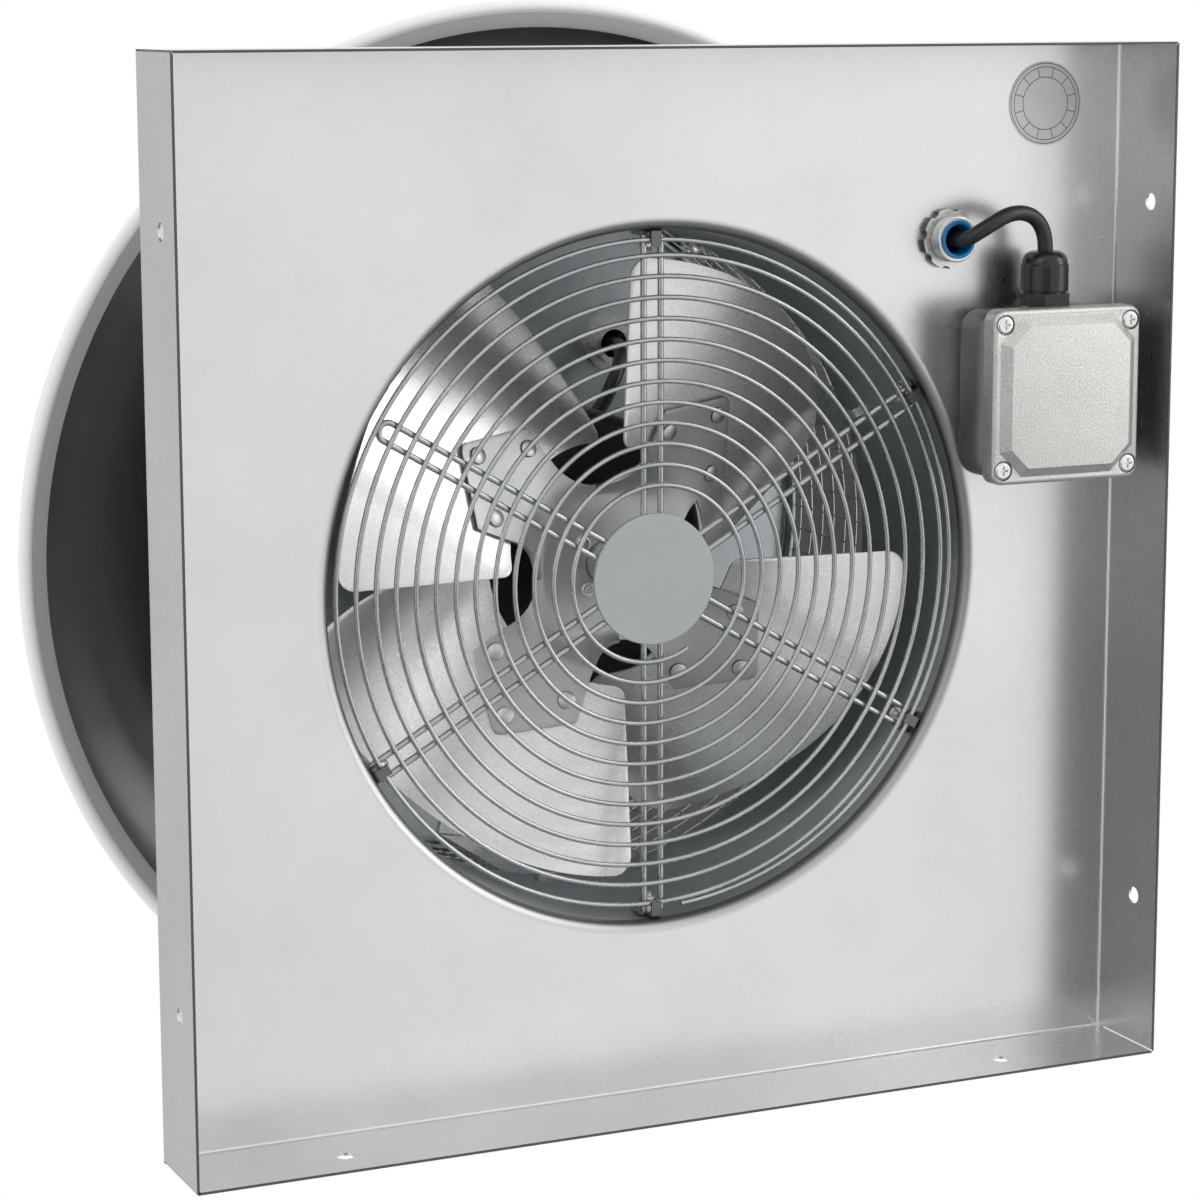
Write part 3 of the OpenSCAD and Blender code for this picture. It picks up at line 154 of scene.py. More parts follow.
# Smooth normal of the drawn lip, straight out from the ring at its middle; elsewhere the sheet's own
def lipNormal(tree, coord, ring):
    def vectorMath(operation, inputs, output="Vector"):
        return addNode(tree, "ShaderNodeVectorMath", inputs, operation=operation).outputs[output]
    outward = vectorMath("NORMALIZE", {0: vectorMath("MULTIPLY", {0: coord, 1: (1, 1, 0)})})
    middle = vectorMath("SCALE", {0: outward, "Scale": ring["radius"]})
    away = vectorMath("SUBTRACT", {0: coord, 1: middle})
    away = vectorMath("SUBTRACT", {0: away, 1: (0, 0, ring["level"])})
    inner = math2(tree, "LESS_THAN", vectorMath("DOT_PRODUCT", {0: away, 1: outward}, "Value"), 0.0)
    lower = math2(tree, "LESS_THAN", parted(tree, away)["Z"], 0.0)
    outer = math2(tree, "GREATER_THAN", vectorMath("LENGTH", {0: away}, "Value"), ring["least"])
    return mixColor(tree, product(tree, inner, lower, outer), geometry(tree, "Normal"),
                    vectorMath("NORMALIZE", {0: away}))


# 1 on the cap's sheared rim and along the open seams of its four corners
def cutEdges(tree, coord, fold):
    spot = parted(tree, coord)
    wide, deep = (math2(tree, "ABSOLUTE", spot[axis]) for axis in ("X", "Y"))
    seam = math2(tree, "GREATER_THAN", math2(tree, "MINIMUM", wide, deep), fold["seam"])
    return math2(tree, "MAXIMUM", seam, math2(tree, "LESS_THAN", spot["Z"], fold["rim"]))


# 1 on the cut sides of a thin plate that lies across the axis, where a darker tone is painted shade that draws dark
# outlines
paintedSideSpan = (0.35, 0.6)


def sidePaintedShade(tree):
    upright = math2(tree, "ABSOLUTE", parted(tree, geometry(tree, "True Normal"))["Z"])
    return ranged(tree, upright, paintedSideSpan, 1.0, 0.0)


# Rolled and galvanised sheet: crystal spangle, long drifting tone, fine rolling lines
def sheetMaterial(name, look):
    mat, tree, shader, coord = startMaterial(name, {"Metallic": look["metal"]})
    cells = addNode(tree, "ShaderNodeTexVoronoi", {"Vector": coord, "Scale": look["spangle"], "Randomness": 1.0})
    cellTone = addNode(tree, "ShaderNodeSeparateColor", {"Color": cells.outputs["Color"]}).outputs["Red"]
    drift = noise(tree, coord, look["drift"], 4.0, 0.6)
    fine = noise(tree, mapped(tree, coord, look["grainStretch"]), look["grain"], 2.0, 0.6)
    base = mixColor(tree, spread(tree, drift), rgb(look["dark"]), rgb(look["light"]))
    base = mixColor(tree, ranged(tree, cellTone, wholeSpan, 0.0, look["spangleTone"]), base, rgb(look["crystal"]))
    rough = math2(tree, "ADD", ranged(tree, cellTone, wholeSpan, *look["rough"]),
                  spread(tree, fine, -look["roughGrain"], look["roughGrain"]))
    fold = look.get("fold")
    if fold:
        lip, wall = lipPaintedShade(tree, coord, fold)
        # lip and wall greys: painted shade on the opening's lip and on the throat wall just inside it
        base = mixColor(tree, lip, base, rgb(fold["lip"]))
        base = mixColor(tree, wall, base, rgb(fold["wall"]))
        base = mixColor(tree, cutEdges(tree, coord, fold), base, rgb(fold["cut"]))
        rough = math2(tree, "ADD", rough, product(tree, lip, fold["lipRough"]))
    # Painted light: a near-white tone on the wall's left part, standing in for light falling there and for its bright
    # reflection in the blades
    if look.get("leftPaintedLight"):
        litLeft = ranged(tree, parted(tree, coord)["X"], look["leftPaintedLightSpan"], 1.0, 0.0)
        base = mixColor(tree, litLeft, base, rgb(look["leftPaintedLight"]))
    # sides: a darker tone painted on the sides as shade, for dark outlines round the plate
    if look.get("sides"):
        base = mixColor(tree, sidePaintedShade(tree), base, rgb(look["sides"]))
    tree.links.new(base, shader.inputs["Base Color"])
    tree.links.new(rough, shader.inputs["Roughness"])
    smooth = lipNormal(tree, coord, fold["ring"]) if fold else None
    low = bump(tree, cellTone, look["spangleBump"], look["spangleDepth"], smooth)
    tree.links.new(bump(tree, fine, look["grainBump"], look["grainDepth"], low), shader.inputs["Normal"])
    return mat


galvanisedLook = {"metal": 1.0, "spangle": 330.0, "drift": 9.0, "grain": 420.0, "grainStretch": (1, 0.25, 1),
                  "dark": (0.66, 0.67, 0.67), "light": (0.74, 0.74, 0.73), "crystal": (0.80, 0.80, 0.79),
                  "spangleTone": 0.12, "rough": (0.26, 0.32), "roughGrain": 0.03, "spangleBump": 0.015,
                  "spangleDepth": 0.0004, "grainBump": 0.06, "grainDepth": 0.0001}
# Fold tones: the lip and wall greys are painted shade; cut is the dark sheared rim and corner seams
foldLook = {"cut": grey(0.10), "lip": grey(0.42), "wall": grey(0.17), "lipRough": 0.12, "lipSpan": (0.1712, 0.1742),
            "wallSpan": (0.1692, 0.1706), "seam": 0.2531, "rim": 0.0004,
            "ring": {"radius": 0.174, "level": 0.0568, "least": 0.0054}}
capLook = dict(galvanisedLook, fold=foldLook, spangleTone=0.03, rough=(0.275, 0.28), roughGrain=0.004,
               spangleBump=0.0, grainBump=0.0)
# Throat wall: darker, bluer tones than the plain sheet as painted shade inside the throat, and a near-white left part
# as painted light
throatShadedLook = dict(galvanisedLook, dark=(0.40, 0.43, 0.44), light=(0.50, 0.53, 0.54), crystal=(0.55, 0.58, 0.59),
                  rough=(0.46, 0.52), drift=14.0, spangleBump=0.004, leftPaintedLight=(0.86, 0.87, 0.87),
                  leftPaintedLightSpan=(-0.15, -0.06))
deckLook = dict(galvanisedLook, dark=(0.44, 0.475, 0.495), light=(0.60, 0.64, 0.655), crystal=(0.70, 0.72, 0.73),
                spangle=150.0, spangleTone=0.15, spangleBump=0.004, grainBump=0.02, rough=(0.30, 0.34))
bladeLook = dict(galvanisedLook, metal=0.86, spangle=900.0, dark=(0.85, 0.84, 0.82), light=(0.93, 0.92, 0.90),
                 crystal=(0.82, 0.81, 0.79), spangleTone=0.12, rough=(0.28, 0.33), spangleBump=0.004, drift=22.0,
                 grain=2600.0, grainStretch=(1, 1, 1), roughGrain=0.05, grainBump=0.10)
# Spider plate: its sides tone is painted shade along the plate's edges
spiderLook = dict(galvanisedLook, metal=0.85, spangle=500.0, dark=(0.50, 0.51, 0.52), light=(0.56, 0.57, 0.57),
                  crystal=(0.57, 0.58, 0.58), rough=(0.38, 0.42), drift=26.0, spangleTone=0.03,
                  spangleBump=0.0, grain=1800.0, grainStretch=(1, 1, 1), sides=grey(0.08))
hardwareLook = dict(galvanisedLook, spangle=900.0, dark=(0.68, 0.68, 0.67), light=(0.84, 0.84, 0.82),
                    crystal=(0.9, 0.9, 0.88), rough=(0.22, 0.34), drift=90.0)
wireLook = dict(galvanisedLook, metal=0.9, spangle=500.0, dark=(0.37, 0.385, 0.385), light=(0.47, 0.485, 0.485),
                crystal=(0.52, 0.53, 0.53), rough=(0.24, 0.32), drift=40.0)
# Guard clips: a near-black copy of the wire finish, painted shade so the clips blend into the shaded throat
clipShadedLook = dict(wireLook, dark=(0.10, 0.105, 0.11), light=(0.17, 0.175, 0.18), crystal=grey(0.2))
discLook = dict(wireLook, metal=0.25, dark=(0.37, 0.385, 0.38), light=(0.40, 0.415, 0.41), spangleTone=0.05,
                rough=(0.42, 0.48), spangleBump=0.02)
meshLook = dict(hardwareLook, dark=(0.45, 0.46, 0.46), light=(0.62, 0.63, 0.63))
castZincLook = dict(hardwareLook, dark=(0.58, 0.59, 0.58), light=(0.76, 0.77, 0.76), rough=(0.28, 0.42),
                    grain=900.0, grainStretch=(1, 1, 1), grainBump=0.15)
# Locknut: its sides tone is painted shade on the lobes' sides
locknutLook = dict(castZincLook, sides=grey(0.10))
# Rivet heads: their sides tone is painted shade, dark outlines round the heads
rivetLook = dict(hardwareLook, dark=(0.66, 0.66, 0.65), light=(0.74, 0.74, 0.73), rough=(0.34, 0.42),
                 sides=grey(0.06))
steelLook = dict(hardwareLook, dark=grey(0.48), light=(0.62, 0.62, 0.61), rough=(0.2, 0.3))
laminationLook = dict(steelLook, grainStretch=(0.02, 0.02, 1), grainBump=0.5)
conduitLook = dict(hardwareLook, dark=(0.45, 0.46, 0.46), light=(0.6, 0.61, 0.61))


# Spun aluminium: fine rings round the axis from the spinning roller
def spunMaterial(name, look):
    mat, tree, shader, coord = startMaterial(name, {"Metallic": look["metal"]})
    spot = parted(tree, coord)
    radius = axisDistance(tree, spot)
    along = addNode(tree, "ShaderNodeCombineXYZ", {"X": radius, "Y": spot["Z"], "Z": 0.0}).outputs[0]
    rings = noise(tree, along, look["rings"], 3.0, 0.7)
    drift = noise(tree, coord, look["drift"], 4.0, 0.6)
    base = mixColor(tree, spread(tree, drift), rgb(look["dark"]), rgb(look["light"]))
    base = mixColor(tree, ranged(tree, rings, look["ringSpan"], 0.0, look["ringShare"]), base, rgb(look["ringTone"]))
    # Rim of the hood: the darker inside and lip tones are painted shade, the near-white bead a painted highlight
    rim = look.get("rim")
    if rim:
        facing = parted(tree, geometry(tree, "True Normal"))
        turned = math2(tree, "ADD", product(tree, facing["X"], spot["X"]), product(tree, facing["Y"], spot["Y"]))
        turned = math2(tree, "ADD", turned, product(tree, facing["Z"], rim["lean"]))
        inward = math2(tree, "LESS_THAN", turned, 0.0)
        above = ranged(tree, spot["Z"], rim["levelSpan"], 0.0, 1.0)
        below = math2(tree, "SUBTRACT", 1.0, above)
        bead = product(tree, ranged(tree, radius, rim["beadSpan"], 0.0, 1.0), below)
        for share, tone in ((product(tree, inward, above), "inside"), (below, "lip"), (bead, "bead")):
            base = mixColor(tree, share, base, rgb(rim[tone]))
        tree.links.new(ranged(tree, below, wholeSpan, look["metal"], rim["metal"]), shader.inputs["Metallic"])
    tree.links.new(base, shader.inputs["Base Color"])
    tree.links.new(spread(tree, rings, *look["rough"]), shader.inputs["Roughness"])
    tree.links.new(bump(tree, rings, look["ringBump"], look["ringDepth"]), shader.inputs["Normal"])
    return mat


spunLook = {"metal": 1.0, "rings": 420.0, "drift": 7.0, "dark": (0.66, 0.67, 0.68), "light": (0.78, 0.79, 0.80),
            "ringTone": (0.62, 0.63, 0.64), "ringSpan": (0.35, 0.65), "ringShare": 0.35, "rough": (0.30, 0.42),
            "ringBump": 0.18, "ringDepth": 0.0002}
# Rim tones: inside and lip greys are painted shade on the hood's inner face and turned-in lip; the near-white bead is
# a painted highlight
rimPaintedLook = {"inside": (0.37, 0.37, 0.375), "lip": (0.36, 0.36, 0.355), "bead": (0.98, 0.98, 0.97), "metal": 0.0,
           "levelSpan": (0.1985, 0.2015), "beadSpan": (0.2682, 0.2692), "lean": 0.3}
hoodLook = dict(spunLook, dark=(0.82, 0.82, 0.81), light=(0.90, 0.90, 0.89), ringTone=(0.78, 0.78, 0.77),
                rim=rimPaintedLook)
hubLook = dict(spunLook, rings=2600.0, drift=60.0)


# Cast, moulded and painted surfaces: grain bump and soft mottling
def grainMaterial(name, look):
    mat, tree, shader, coord = startMaterial(name, {"Metallic": look["metal"]})
    grain = noise(tree, coord, look["grain"], 4.0, 0.65)
    mottle = noise(tree, coord, look["mottle"], 4.0, 0.6)
    base = mixColor(tree, spread(tree, mottle), rgb(look["dark"]), rgb(look["light"]))
    base = mixColor(tree, ranged(tree, grain, speckSpan, 0.0, look["grainTone"]), base, rgb(look["speck"]))
    tree.links.new(base, shader.inputs["Base Color"])
    tree.links.new(spread(tree, grain, *look["rough"]), shader.inputs["Roughness"])
    tree.links.new(bump(tree, grain, look["bump"], look["depth"]), shader.inputs["Normal"])
    return mat


castLook = {"metal": 0.9, "grain": 1000.0, "mottle": 30.0, "dark": (0.50, 0.495, 0.48),
            "light": (0.56, 0.555, 0.54), "speck": (0.80, 0.79, 0.77), "grainTone": 0.9, "rough": (0.38, 0.50),
            "bump": 0.6, "depth": 0.0004}
# Box body: a much darker copy of the cast aluminium, painted shade on the box's sides
bodyShadedLook = dict(castLook, dark=grey(0.15), light=(0.21, 0.21, 0.205), speck=(0.28, 0.28, 0.275))
nylonLook = {"metal": 0.0, "grain": 1500.0, "mottle": 60.0, "dark": (0.016, 0.016, 0.017),
             "light": (0.026, 0.026, 0.027), "speck": grey(0.05), "grainTone": 0.3, "rough": (0.36, 0.5),
             "bump": 0.12, "depth": 0.0002}
glandLook = dict(nylonLook, dark=(0.007, 0.007, 0.008), light=(0.012, 0.012, 0.013), rough=(0.16, 0.26), bump=0.05)
sheathLook = dict(nylonLook, dark=(0.009, 0.009, 0.01), light=(0.015, 0.015, 0.016), grain=700.0,
                  rough=(0.34, 0.46), bump=0.1)
gasketLook = dict(nylonLook, rough=(0.6, 0.75), grain=900.0)
paintLook = dict(nylonLook, dark=(0.028, 0.028, 0.03), light=(0.042, 0.042, 0.045), grain=260.0,
                 rough=(0.28, 0.42), bump=0.15, depth=0.0005)
oxideLook = dict(paintLook, metal=0.6, light=(0.05, 0.05, 0.055))
bushLook = dict(nylonLook, dark=(0.0, 0.13, 0.34), light=(0.0, 0.19, 0.45), speck=(0.02, 0.28, 0.58),
                rough=(0.26, 0.38))
copperLook = dict(nylonLook, metal=0.8, dark=(0.35, 0.13, 0.05), light=(0.55, 0.24, 0.10),
                  speck=(0.7, 0.35, 0.16), grain=500.0)
plainDiscLook = dict(nylonLook, metal=0.5, dark=grey(0.52), light=grey(0.58), speck=grey(0.62),
                     rough=(0.30, 0.40), grain=400.0)


# Plain foil disc: printed rings and twelve short divisions, no words
def discMaterial(name, look, marks):
    mat = grainMaterial(name, look)
    tree = mat.node_tree
    shader = tree.nodes["Principled BSDF"]
    base = shader.inputs["Base Color"].links[0].from_socket
    coord = addNode(tree, "ShaderNodeTexCoord").outputs["Object"]
    spot = parted(tree, mapped(tree, coord, move=marks["move"]))
    radius = axisDistance(tree, spot)
    ink = 0.0
    for ring in marks["rings"]:
        off = math2(tree, "ABSOLUTE", math2(tree, "SUBTRACT", radius, ring))
        ink = math2(tree, "MAXIMUM", ink, math2(tree, "LESS_THAN", off, marks["line"]))
    part = 2 * math.pi / marks["parts"]
    around = product(tree, math2(tree, "ARCTAN2", spot["Y"], spot["X"]), 1 / part)
    side = math2(tree, "ABSOLUTE", math2(tree, "SUBTRACT", math2(tree, "FRACT", around), 0.5))
    tick = math2(tree, "LESS_THAN", product(tree, side, radius, part), marks["line"])
    between = product(tree, math2(tree, "GREATER_THAN", radius, marks["rings"][0]),
                      math2(tree, "LESS_THAN", radius, marks["rings"][1]))
    ink = math2(tree, "MAXIMUM", ink, product(tree, tick, between))
    ink = product(tree, ink, marks["strength"])
    tree.links.new(mixColor(tree, ink, base, rgb(marks["ink"])), shader.inputs["Base Color"])
    return mat


discMarks = {"move": (-0.2101, 0.2238, 0), "rings": (0.0128, 0.0178, 0.0196), "line": 0.00022, "parts": 12,
             "strength": 0.85, "ink": grey(0.05)}

finishes = {
    "galvanised_sheet": sheetMaterial("galvanisedSheet", galvanisedLook),
    "throat_sheet": sheetMaterial("throatSheetShaded", throatShadedLook),
    "blade_sheet": sheetMaterial("bladeSheet", bladeLook),
    "spider_sheet": sheetMaterial("spiderPlate", spiderLook),
    "zinc_hardware": sheetMaterial("zincHardware", hardwareLook),
    "guard_wire": sheetMaterial("guardWire", wireLook),
    "guard_disc_paint": sheetMaterial("guardDisc", discLook),
    "mesh_wire": sheetMaterial("meshWire", meshLook),
    "zinc_casting": sheetMaterial("zincCasting", castZincLook),
    "bearing_steel": sheetMaterial("bearingSteel", steelLook),
    "hub_steel": spunMaterial("hubSteel", hubLook),
    "lamination_steel": sheetMaterial("laminations", laminationLook),
    "conduit_steel": sheetMaterial("conduitStrip", conduitLook),
    "rivet_aluminium": sheetMaterial("rivetAluminium", rivetLook),
    "spun_aluminium": spunMaterial("spunAluminium", hoodLook),
    "cast_aluminium": grainMaterial("castAluminium", castLook),
    "gland_plastic": grainMaterial("glandNylon", glandLook),
    "lead_rubber": grainMaterial("leadSheath", sheathLook),
    "gasket_rubber": grainMaterial("gasketRubber", gasketLook),
    "motor_black": grainMaterial("motorPaint", paintLook),
    "black_hardware": grainMaterial("blackOxide", oxideLook),
    "bushing_blue": grainMaterial("blueBushing", bushLook),
    "winding_copper": grainMaterial("varnishedCopper", copperLook),
    "plain_label": discMaterial("plainDisc", plainDiscLook, discMarks),
}
nodeFinish = {"motor_deck": sheetMaterial("deckSheet", deckLook), "curb_cap": sheetMaterial("capSheet", capLook),
              "guard_clips": sheetMaterial("clipStrapShaded", clipShadedLook),
              "conduit_locknut": sheetMaterial("locknutZinc", locknutLook)}
for part in frame["record"]["subparts"]:
    finish = nodeFinish.get(part["node"]) or finishes[part["material_slot"]]
    cad = nodes[part["node"]]
    cad.data.materials.clear()
    cad.data.materials.append(finish)
print("materials set:", len(finishes) + len(nodeFinish))


# Selecting, applying and finishing a piece
def startPiece():
    if bpy.context.object and bpy.context.object.mode == "EDIT":
        bpy.ops.object.mode_set(mode="OBJECT")
    bpy.ops.object.select_all(action="DESELECT")


def takeOnly(piece):
    startPiece()
    piece.select_set(True)
    bpy.context.view_layer.objects.active = piece


def joinAll(pieces):
    startPiece()
    for piece in pieces:
        piece.select_set(True)
    bpy.context.view_layer.objects.active = pieces[0]
    if len(pieces) > 1:
        bpy.ops.object.join()
    return bpy.context.object


def applyAll(piece):
    takeOnly(piece)
    for modifier in list(piece.modifiers):
        bpy.ops.object.modifier_apply(modifier=modifier.name)


# Steps across a fine bevel on a thin edge
fineSteps = 2


def addWall(piece, thickness):
    wall = piece.modifiers.new("wall", "SOLIDIFY")
    wall.thickness = thickness * mm
    wall.offset = 0


def addBevel(piece, width, segments, angle=None):
    edge = piece.modifiers.new("edge", "BEVEL")
    edge.width = width * mm
    edge.segments = segments
    edge.limit_method = "ANGLE"
    if angle:
        edge.angle_limit = math.radians(angle)


def finishPiece(piece, name, slotName, body, replaced=(), angle=35):
    takeOnly(piece)
    bpy.ops.object.transform_apply(location=True, rotation=True, scale=True)
    bpy.ops.object.shade_smooth_by_angle(angle=math.radians(angle))
    piece.name = name
    piece.data.name = name
    piece.data.materials.clear()
    piece.data.materials.append(finishes[slotName])
    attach(piece, body)
    if replaced:
        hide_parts(*replaced)
    return piece


# Bird screen: welded wire mesh, upright wires inside, hoops outside
screenMade = {"radius": 177 * mm, "wire": 0.5 * mm, "bottom": 52.6 * mm, "top": 256.0 * mm, "uprights": 88,
              "hoops": 17, "sides": 6, "around": 120, "uprightIn": 0.5, "hoopOut": 0.4}


def makeScreen(made):
    startPiece()
    wire, height = made["wire"], made["top"] - made["bottom"]
    spot = (made["radius"] - wire * made["uprightIn"], 0, made["bottom"] + height / 2)
    bpy.ops.mesh.primitive_cylinder_add(vertices=made["sides"], radius=wire, depth=height, end_fill_type="NGON",
                                        location=spot)
    uprights = bpy.context.object
    bpy.ops.object.mode_set(mode="EDIT")
    bpy.ops.mesh.select_all(action="SELECT")
    bpy.ops.mesh.spin(steps=made["uprights"], dupli=True, angle=2 * math.pi, center=(0, 0, 0), axis=(0, 0, 1))
    bpy.ops.object.mode_set(mode="OBJECT")
    wires = [uprights]
    for k in range(made["hoops"]):
        startPiece()
        level = made["bottom"] + wire + (height - 2 * wire) * k / (made["hoops"] - 1)
        bpy.ops.mesh.primitive_torus_add(major_radius=made["radius"] + wire * made["hoopOut"], minor_radius=wire,
                                         major_segments=made["around"], minor_segments=made["sides"],
                                         location=(0, 0, level))
        wires.append(bpy.context.object)
    return finishPiece(joinAll(wires), "birdScreenMesh", "mesh_wire", "frame", ("bird_screen",))


makeScreen(screenMade)
print("bird screen made")


# Blades: the twisted sheet of the source, with a fine grid. Heights follow the angle in degrees
bladeMade = {"rootR": 59.0, "tipR": 152.5, "rivetR": 71.0, "corner": 10.0, "rootCorner": 5.0, "thick": 1.2,
             "tipChord": 71.0, "growth": 0.23, "plateTop": 52.0, "tipRise": 32.0, "rootRise": 39.0,
             "tipSlope": -0.2, "tipCurve": 0.0195, "rootSlope": 0.5, "grid": (44, 72), "soft": 0.25, "count": 4}


def tipHeight(a):
    return bladeMade["plateTop"] + bladeMade["tipRise"] + bladeMade["tipSlope"] * a + bladeMade["tipCurve"] * a * a


def rootHeight(a):
    return bladeMade["plateTop"] + bladeMade["rootRise"] + bladeMade["rootSlope"] * a


def bladeHeight(r, a):
    low, high = rootHeight(a), tipHeight(a)
    return low + (high - low) * (r - bladeMade["rivetR"]) / (bladeMade["tipR"] - bladeMade["rivetR"])


def polar(r, a, z):
    return (r * math.cos(math.radians(a)), r * math.sin(math.radians(a)), z)


def cornerCut(s, c):
    return 0.0 if s >= c else c - math.sqrt(max(c * c - (c - s) ** 2, 0.0))


def makeSheet(grid, place):
    # every vertex of a unit grid goes to its spot on the sheet
    startPiece()
    bpy.ops.mesh.primitive_grid_add(x_subdivisions=grid[0], y_subdivisions=grid[1], size=1)
    for vertex in bpy.context.object.data.vertices:
        vertex.co = Vector(place(vertex.co.x + 0.5, vertex.co.y + 0.5)) * mm
    return bpy.context.object


def bladeSpot(u, v):
    made = bladeMade
    r = made["rootR"] + (made["tipR"] - made["rootR"]) * (0.5 - 0.5 * math.cos(math.pi * u))
    cut = cornerCut(r - made["rootR"], made["rootCorner"]) + cornerCut(made["tipR"] - r, made["corner"])
    lead = math.degrees(cut / r)
    trail = made["tipChord"] + (made["tipR"] - r) * made["growth"] - lead
    a = lead + (trail - lead) * v
    return polar(r, a, bladeHeight(r, a))


def makeBlade(made, index):
    blade = makeSheet(made["grid"], bladeSpot)
    blade.data.transform(Matrix.Rotation(2 * math.pi * index / made["count"], 4, "Z"))
    addWall(blade, made["thick"])
    addBevel(blade, made["soft"], fineSteps)
    applyAll(blade)
    return finishPiece(blade, f"blade{index + 1}", "blade_sheet", "impeller", (f"blade_{index + 1}",))


for index in range(bladeMade["count"]):
    makeBlade(bladeMade, index)
print("blades made")


# Spider: pointed arms that lie on the blades, cut from the same rule, with a fine grid
spiderMade = {"reach": 103.0, "half": 6.4, "slope": 0.3, "scallop": 40.0, "turn": 38.4, "boss": 11.3, "thick": 2.0,
              "hubZ": 114.0, "blend": 40.0, "gap": 0.35, "flat": 34.0, "full": 54.0, "arms": 4, "before": 6.6,
              "least": 30.0, "tipCut": 1.5, "merge": 0.01, "grid": (30, 360), "soft": 0.35,
              "steps": (5, 10, 15, 19, 20.4, 20.9, 21.4, 21.9, 22.5, 23.2, 25, 29, 34, 39, 45)}
armSlant = math.hypot(1, spiderMade["slope"])
armShare = math.sqrt(0.5) * (1 - spiderMade["slope"]) / armSlant
scallopRound = (spiderMade["scallop"] * armShare - spiderMade["half"] / armSlant) / (1 - armShare)
scallopFar = spiderMade["scallop"] + scallopRound
scallopStart = math.degrees(math.atan2(scallopFar * math.sqrt(0.5) - scallopRound / armSlant,
                                       scallopFar * math.sqrt(0.5) + scallopRound * spiderMade["slope"] / armSlant))


def armEdge(a):
    # outline of an arm at an angle off its middle line: point, straight side, then the scallop's circle
    made = spiderMade
    turn, off = math.radians(a), math.radians(45 - a)
    if a > scallopStart:
        return scallopFar * math.cos(off) - math.sqrt(max(scallopRound ** 2 - (scallopFar * math.sin(off)) ** 2, 0))
    wing = made["half"] / max(math.sin(turn) - made["slope"] * math.cos(turn), 0.001)
    point = made["reach"] / (math.cos(turn) + math.sin(turn))
    return (point ** -made["blend"] + wing ** -made["blend"]) ** (-1 / made["blend"])


def sheetLean(r, a):
    # slopes of the blade along and across a radius, and the length of their normal
    radial = (tipHeight(a) - rootHeight(a)) / (bladeMade["tipR"] - bladeMade["rivetR"])
    across = math.degrees(bladeHeight(r, a + 0.5) - bladeHeight(r, a - 0.5)) / r
    return radial, across, math.sqrt(1 + radial ** 2 + across ** 2)


def spiderHeight(r, a):
    made = spiderMade
    b = (a + made["before"] + 360) % 90 - made["before"]
    far = max(r, made["least"])
    apart = (bladeMade["thick"] + made["thick"]) / 2 + made["gap"]
    rise = bladeHeight(far, b) - sheetLean(far, b)[2] * apart
    t = min(max((r - made["flat"]) / (made["full"] - made["flat"]), 0), 1)
    w = t * t * (3 - 2 * t)
    return made["hubZ"] * (1 - w) + rise * w


def spiderSpot(u, v):
    made = spiderMade
    stops = [-step for step in reversed(made["steps"])] + [0] + list(made["steps"])
    arm, along = divmod(v * made["arms"], 1)
    at, share = divmod(along * (len(stops) - 1), 1)
    turned = stops[int(at)] + share * (stops[min(int(at) + 1, len(stops) - 1)] - stops[int(at)])
    a = made["turn"] + 90 * arm + turned
    outer = min(armEdge(abs(turned)), made["reach"] - made["tipCut"])
    r = made["boss"] + (outer - made["boss"]) * u
    return polar(r, a, spiderHeight(r, a))


def mergeDoubles(piece, distance):
    takeOnly(piece)
    bpy.ops.object.mode_set(mode="EDIT")
    bpy.ops.mesh.select_all(action="SELECT")
    bpy.ops.mesh.remove_doubles(threshold=distance * mm)
    bpy.ops.mesh.normals_make_consistent(inside=False)
    bpy.ops.object.mode_set(mode="OBJECT")


def makeSpider(made):
    spider = makeSheet(made["grid"], spiderSpot)
    mergeDoubles(spider, made["merge"])
    addWall(spider, made["thick"])
    addBevel(spider, made["soft"], fineSteps)
    applyAll(spider)
    return finishPiece(spider, "spiderPlate", "spider_sheet", "impeller", ("spider",))


makeSpider(spiderMade)
print("spider made")


# Turned pieces: a closed profile of radius and height, spun round the axis
turnedMerge = 0.002


def spinProfile(name, profile, steps, centre=(0, 0)):
    startPiece()
    mesh = bpy.data.meshes.new(name)
    count = len(profile)
    mesh.from_pydata([(r * mm + centre[0] * mm, centre[1] * mm, z * mm) for r, z in profile],
                     [(k, (k + 1) % count) for k in range(count)], [])
    piece = bpy.data.objects.new(name, mesh)
    bpy.context.scene.collection.objects.link(piece)
    takeOnly(piece)
    bpy.ops.object.mode_set(mode="EDIT")
    bpy.ops.mesh.select_all(action="SELECT")
    bpy.ops.mesh.spin(steps=steps, angle=2 * math.pi, center=(centre[0] * mm, centre[1] * mm, 0), axis=(0, 0, 1))
    mergeDoubles(piece, turnedMerge)
    return piece


def arc(x, z, r, start, end, steps):
    turns = [math.radians(start + (end - start) * k / steps) for k in range(steps + 1)]
    return [(x + r * math.cos(turn), z + r * math.sin(turn)) for turn in turns]


def lifted(profile, level):
    return [(r, level + z) for r, z in profile]


# Hood: crown, shoulder and skirt of the source, a fuller rolled bead and a flat lip turned in beside it.
# An arc is its middle, its radius, its angles and its steps
hoodMade = {"crown": 420.0, "shoulder": 60.0, "shoulderX": 211.4, "shoulderZ": 202.0, "thick": 1.2,
            "bead": (271.85, 197.15, 3.1, 80, -165, 20), "curl": (261.8, 196.8, 0.7, -90, -270, 6),
            "lip": [(268.3, 196.1), (267.6, 195.9), (264.5, 195.9), (261.8, 196.1)],
            "back": [(268.4, 197.7), (269.6, 198.6), (270.1, 200.2)], "crownSteps": 26, "shoulderSteps": 18,
            "eye": 0.02, "steps": 200}


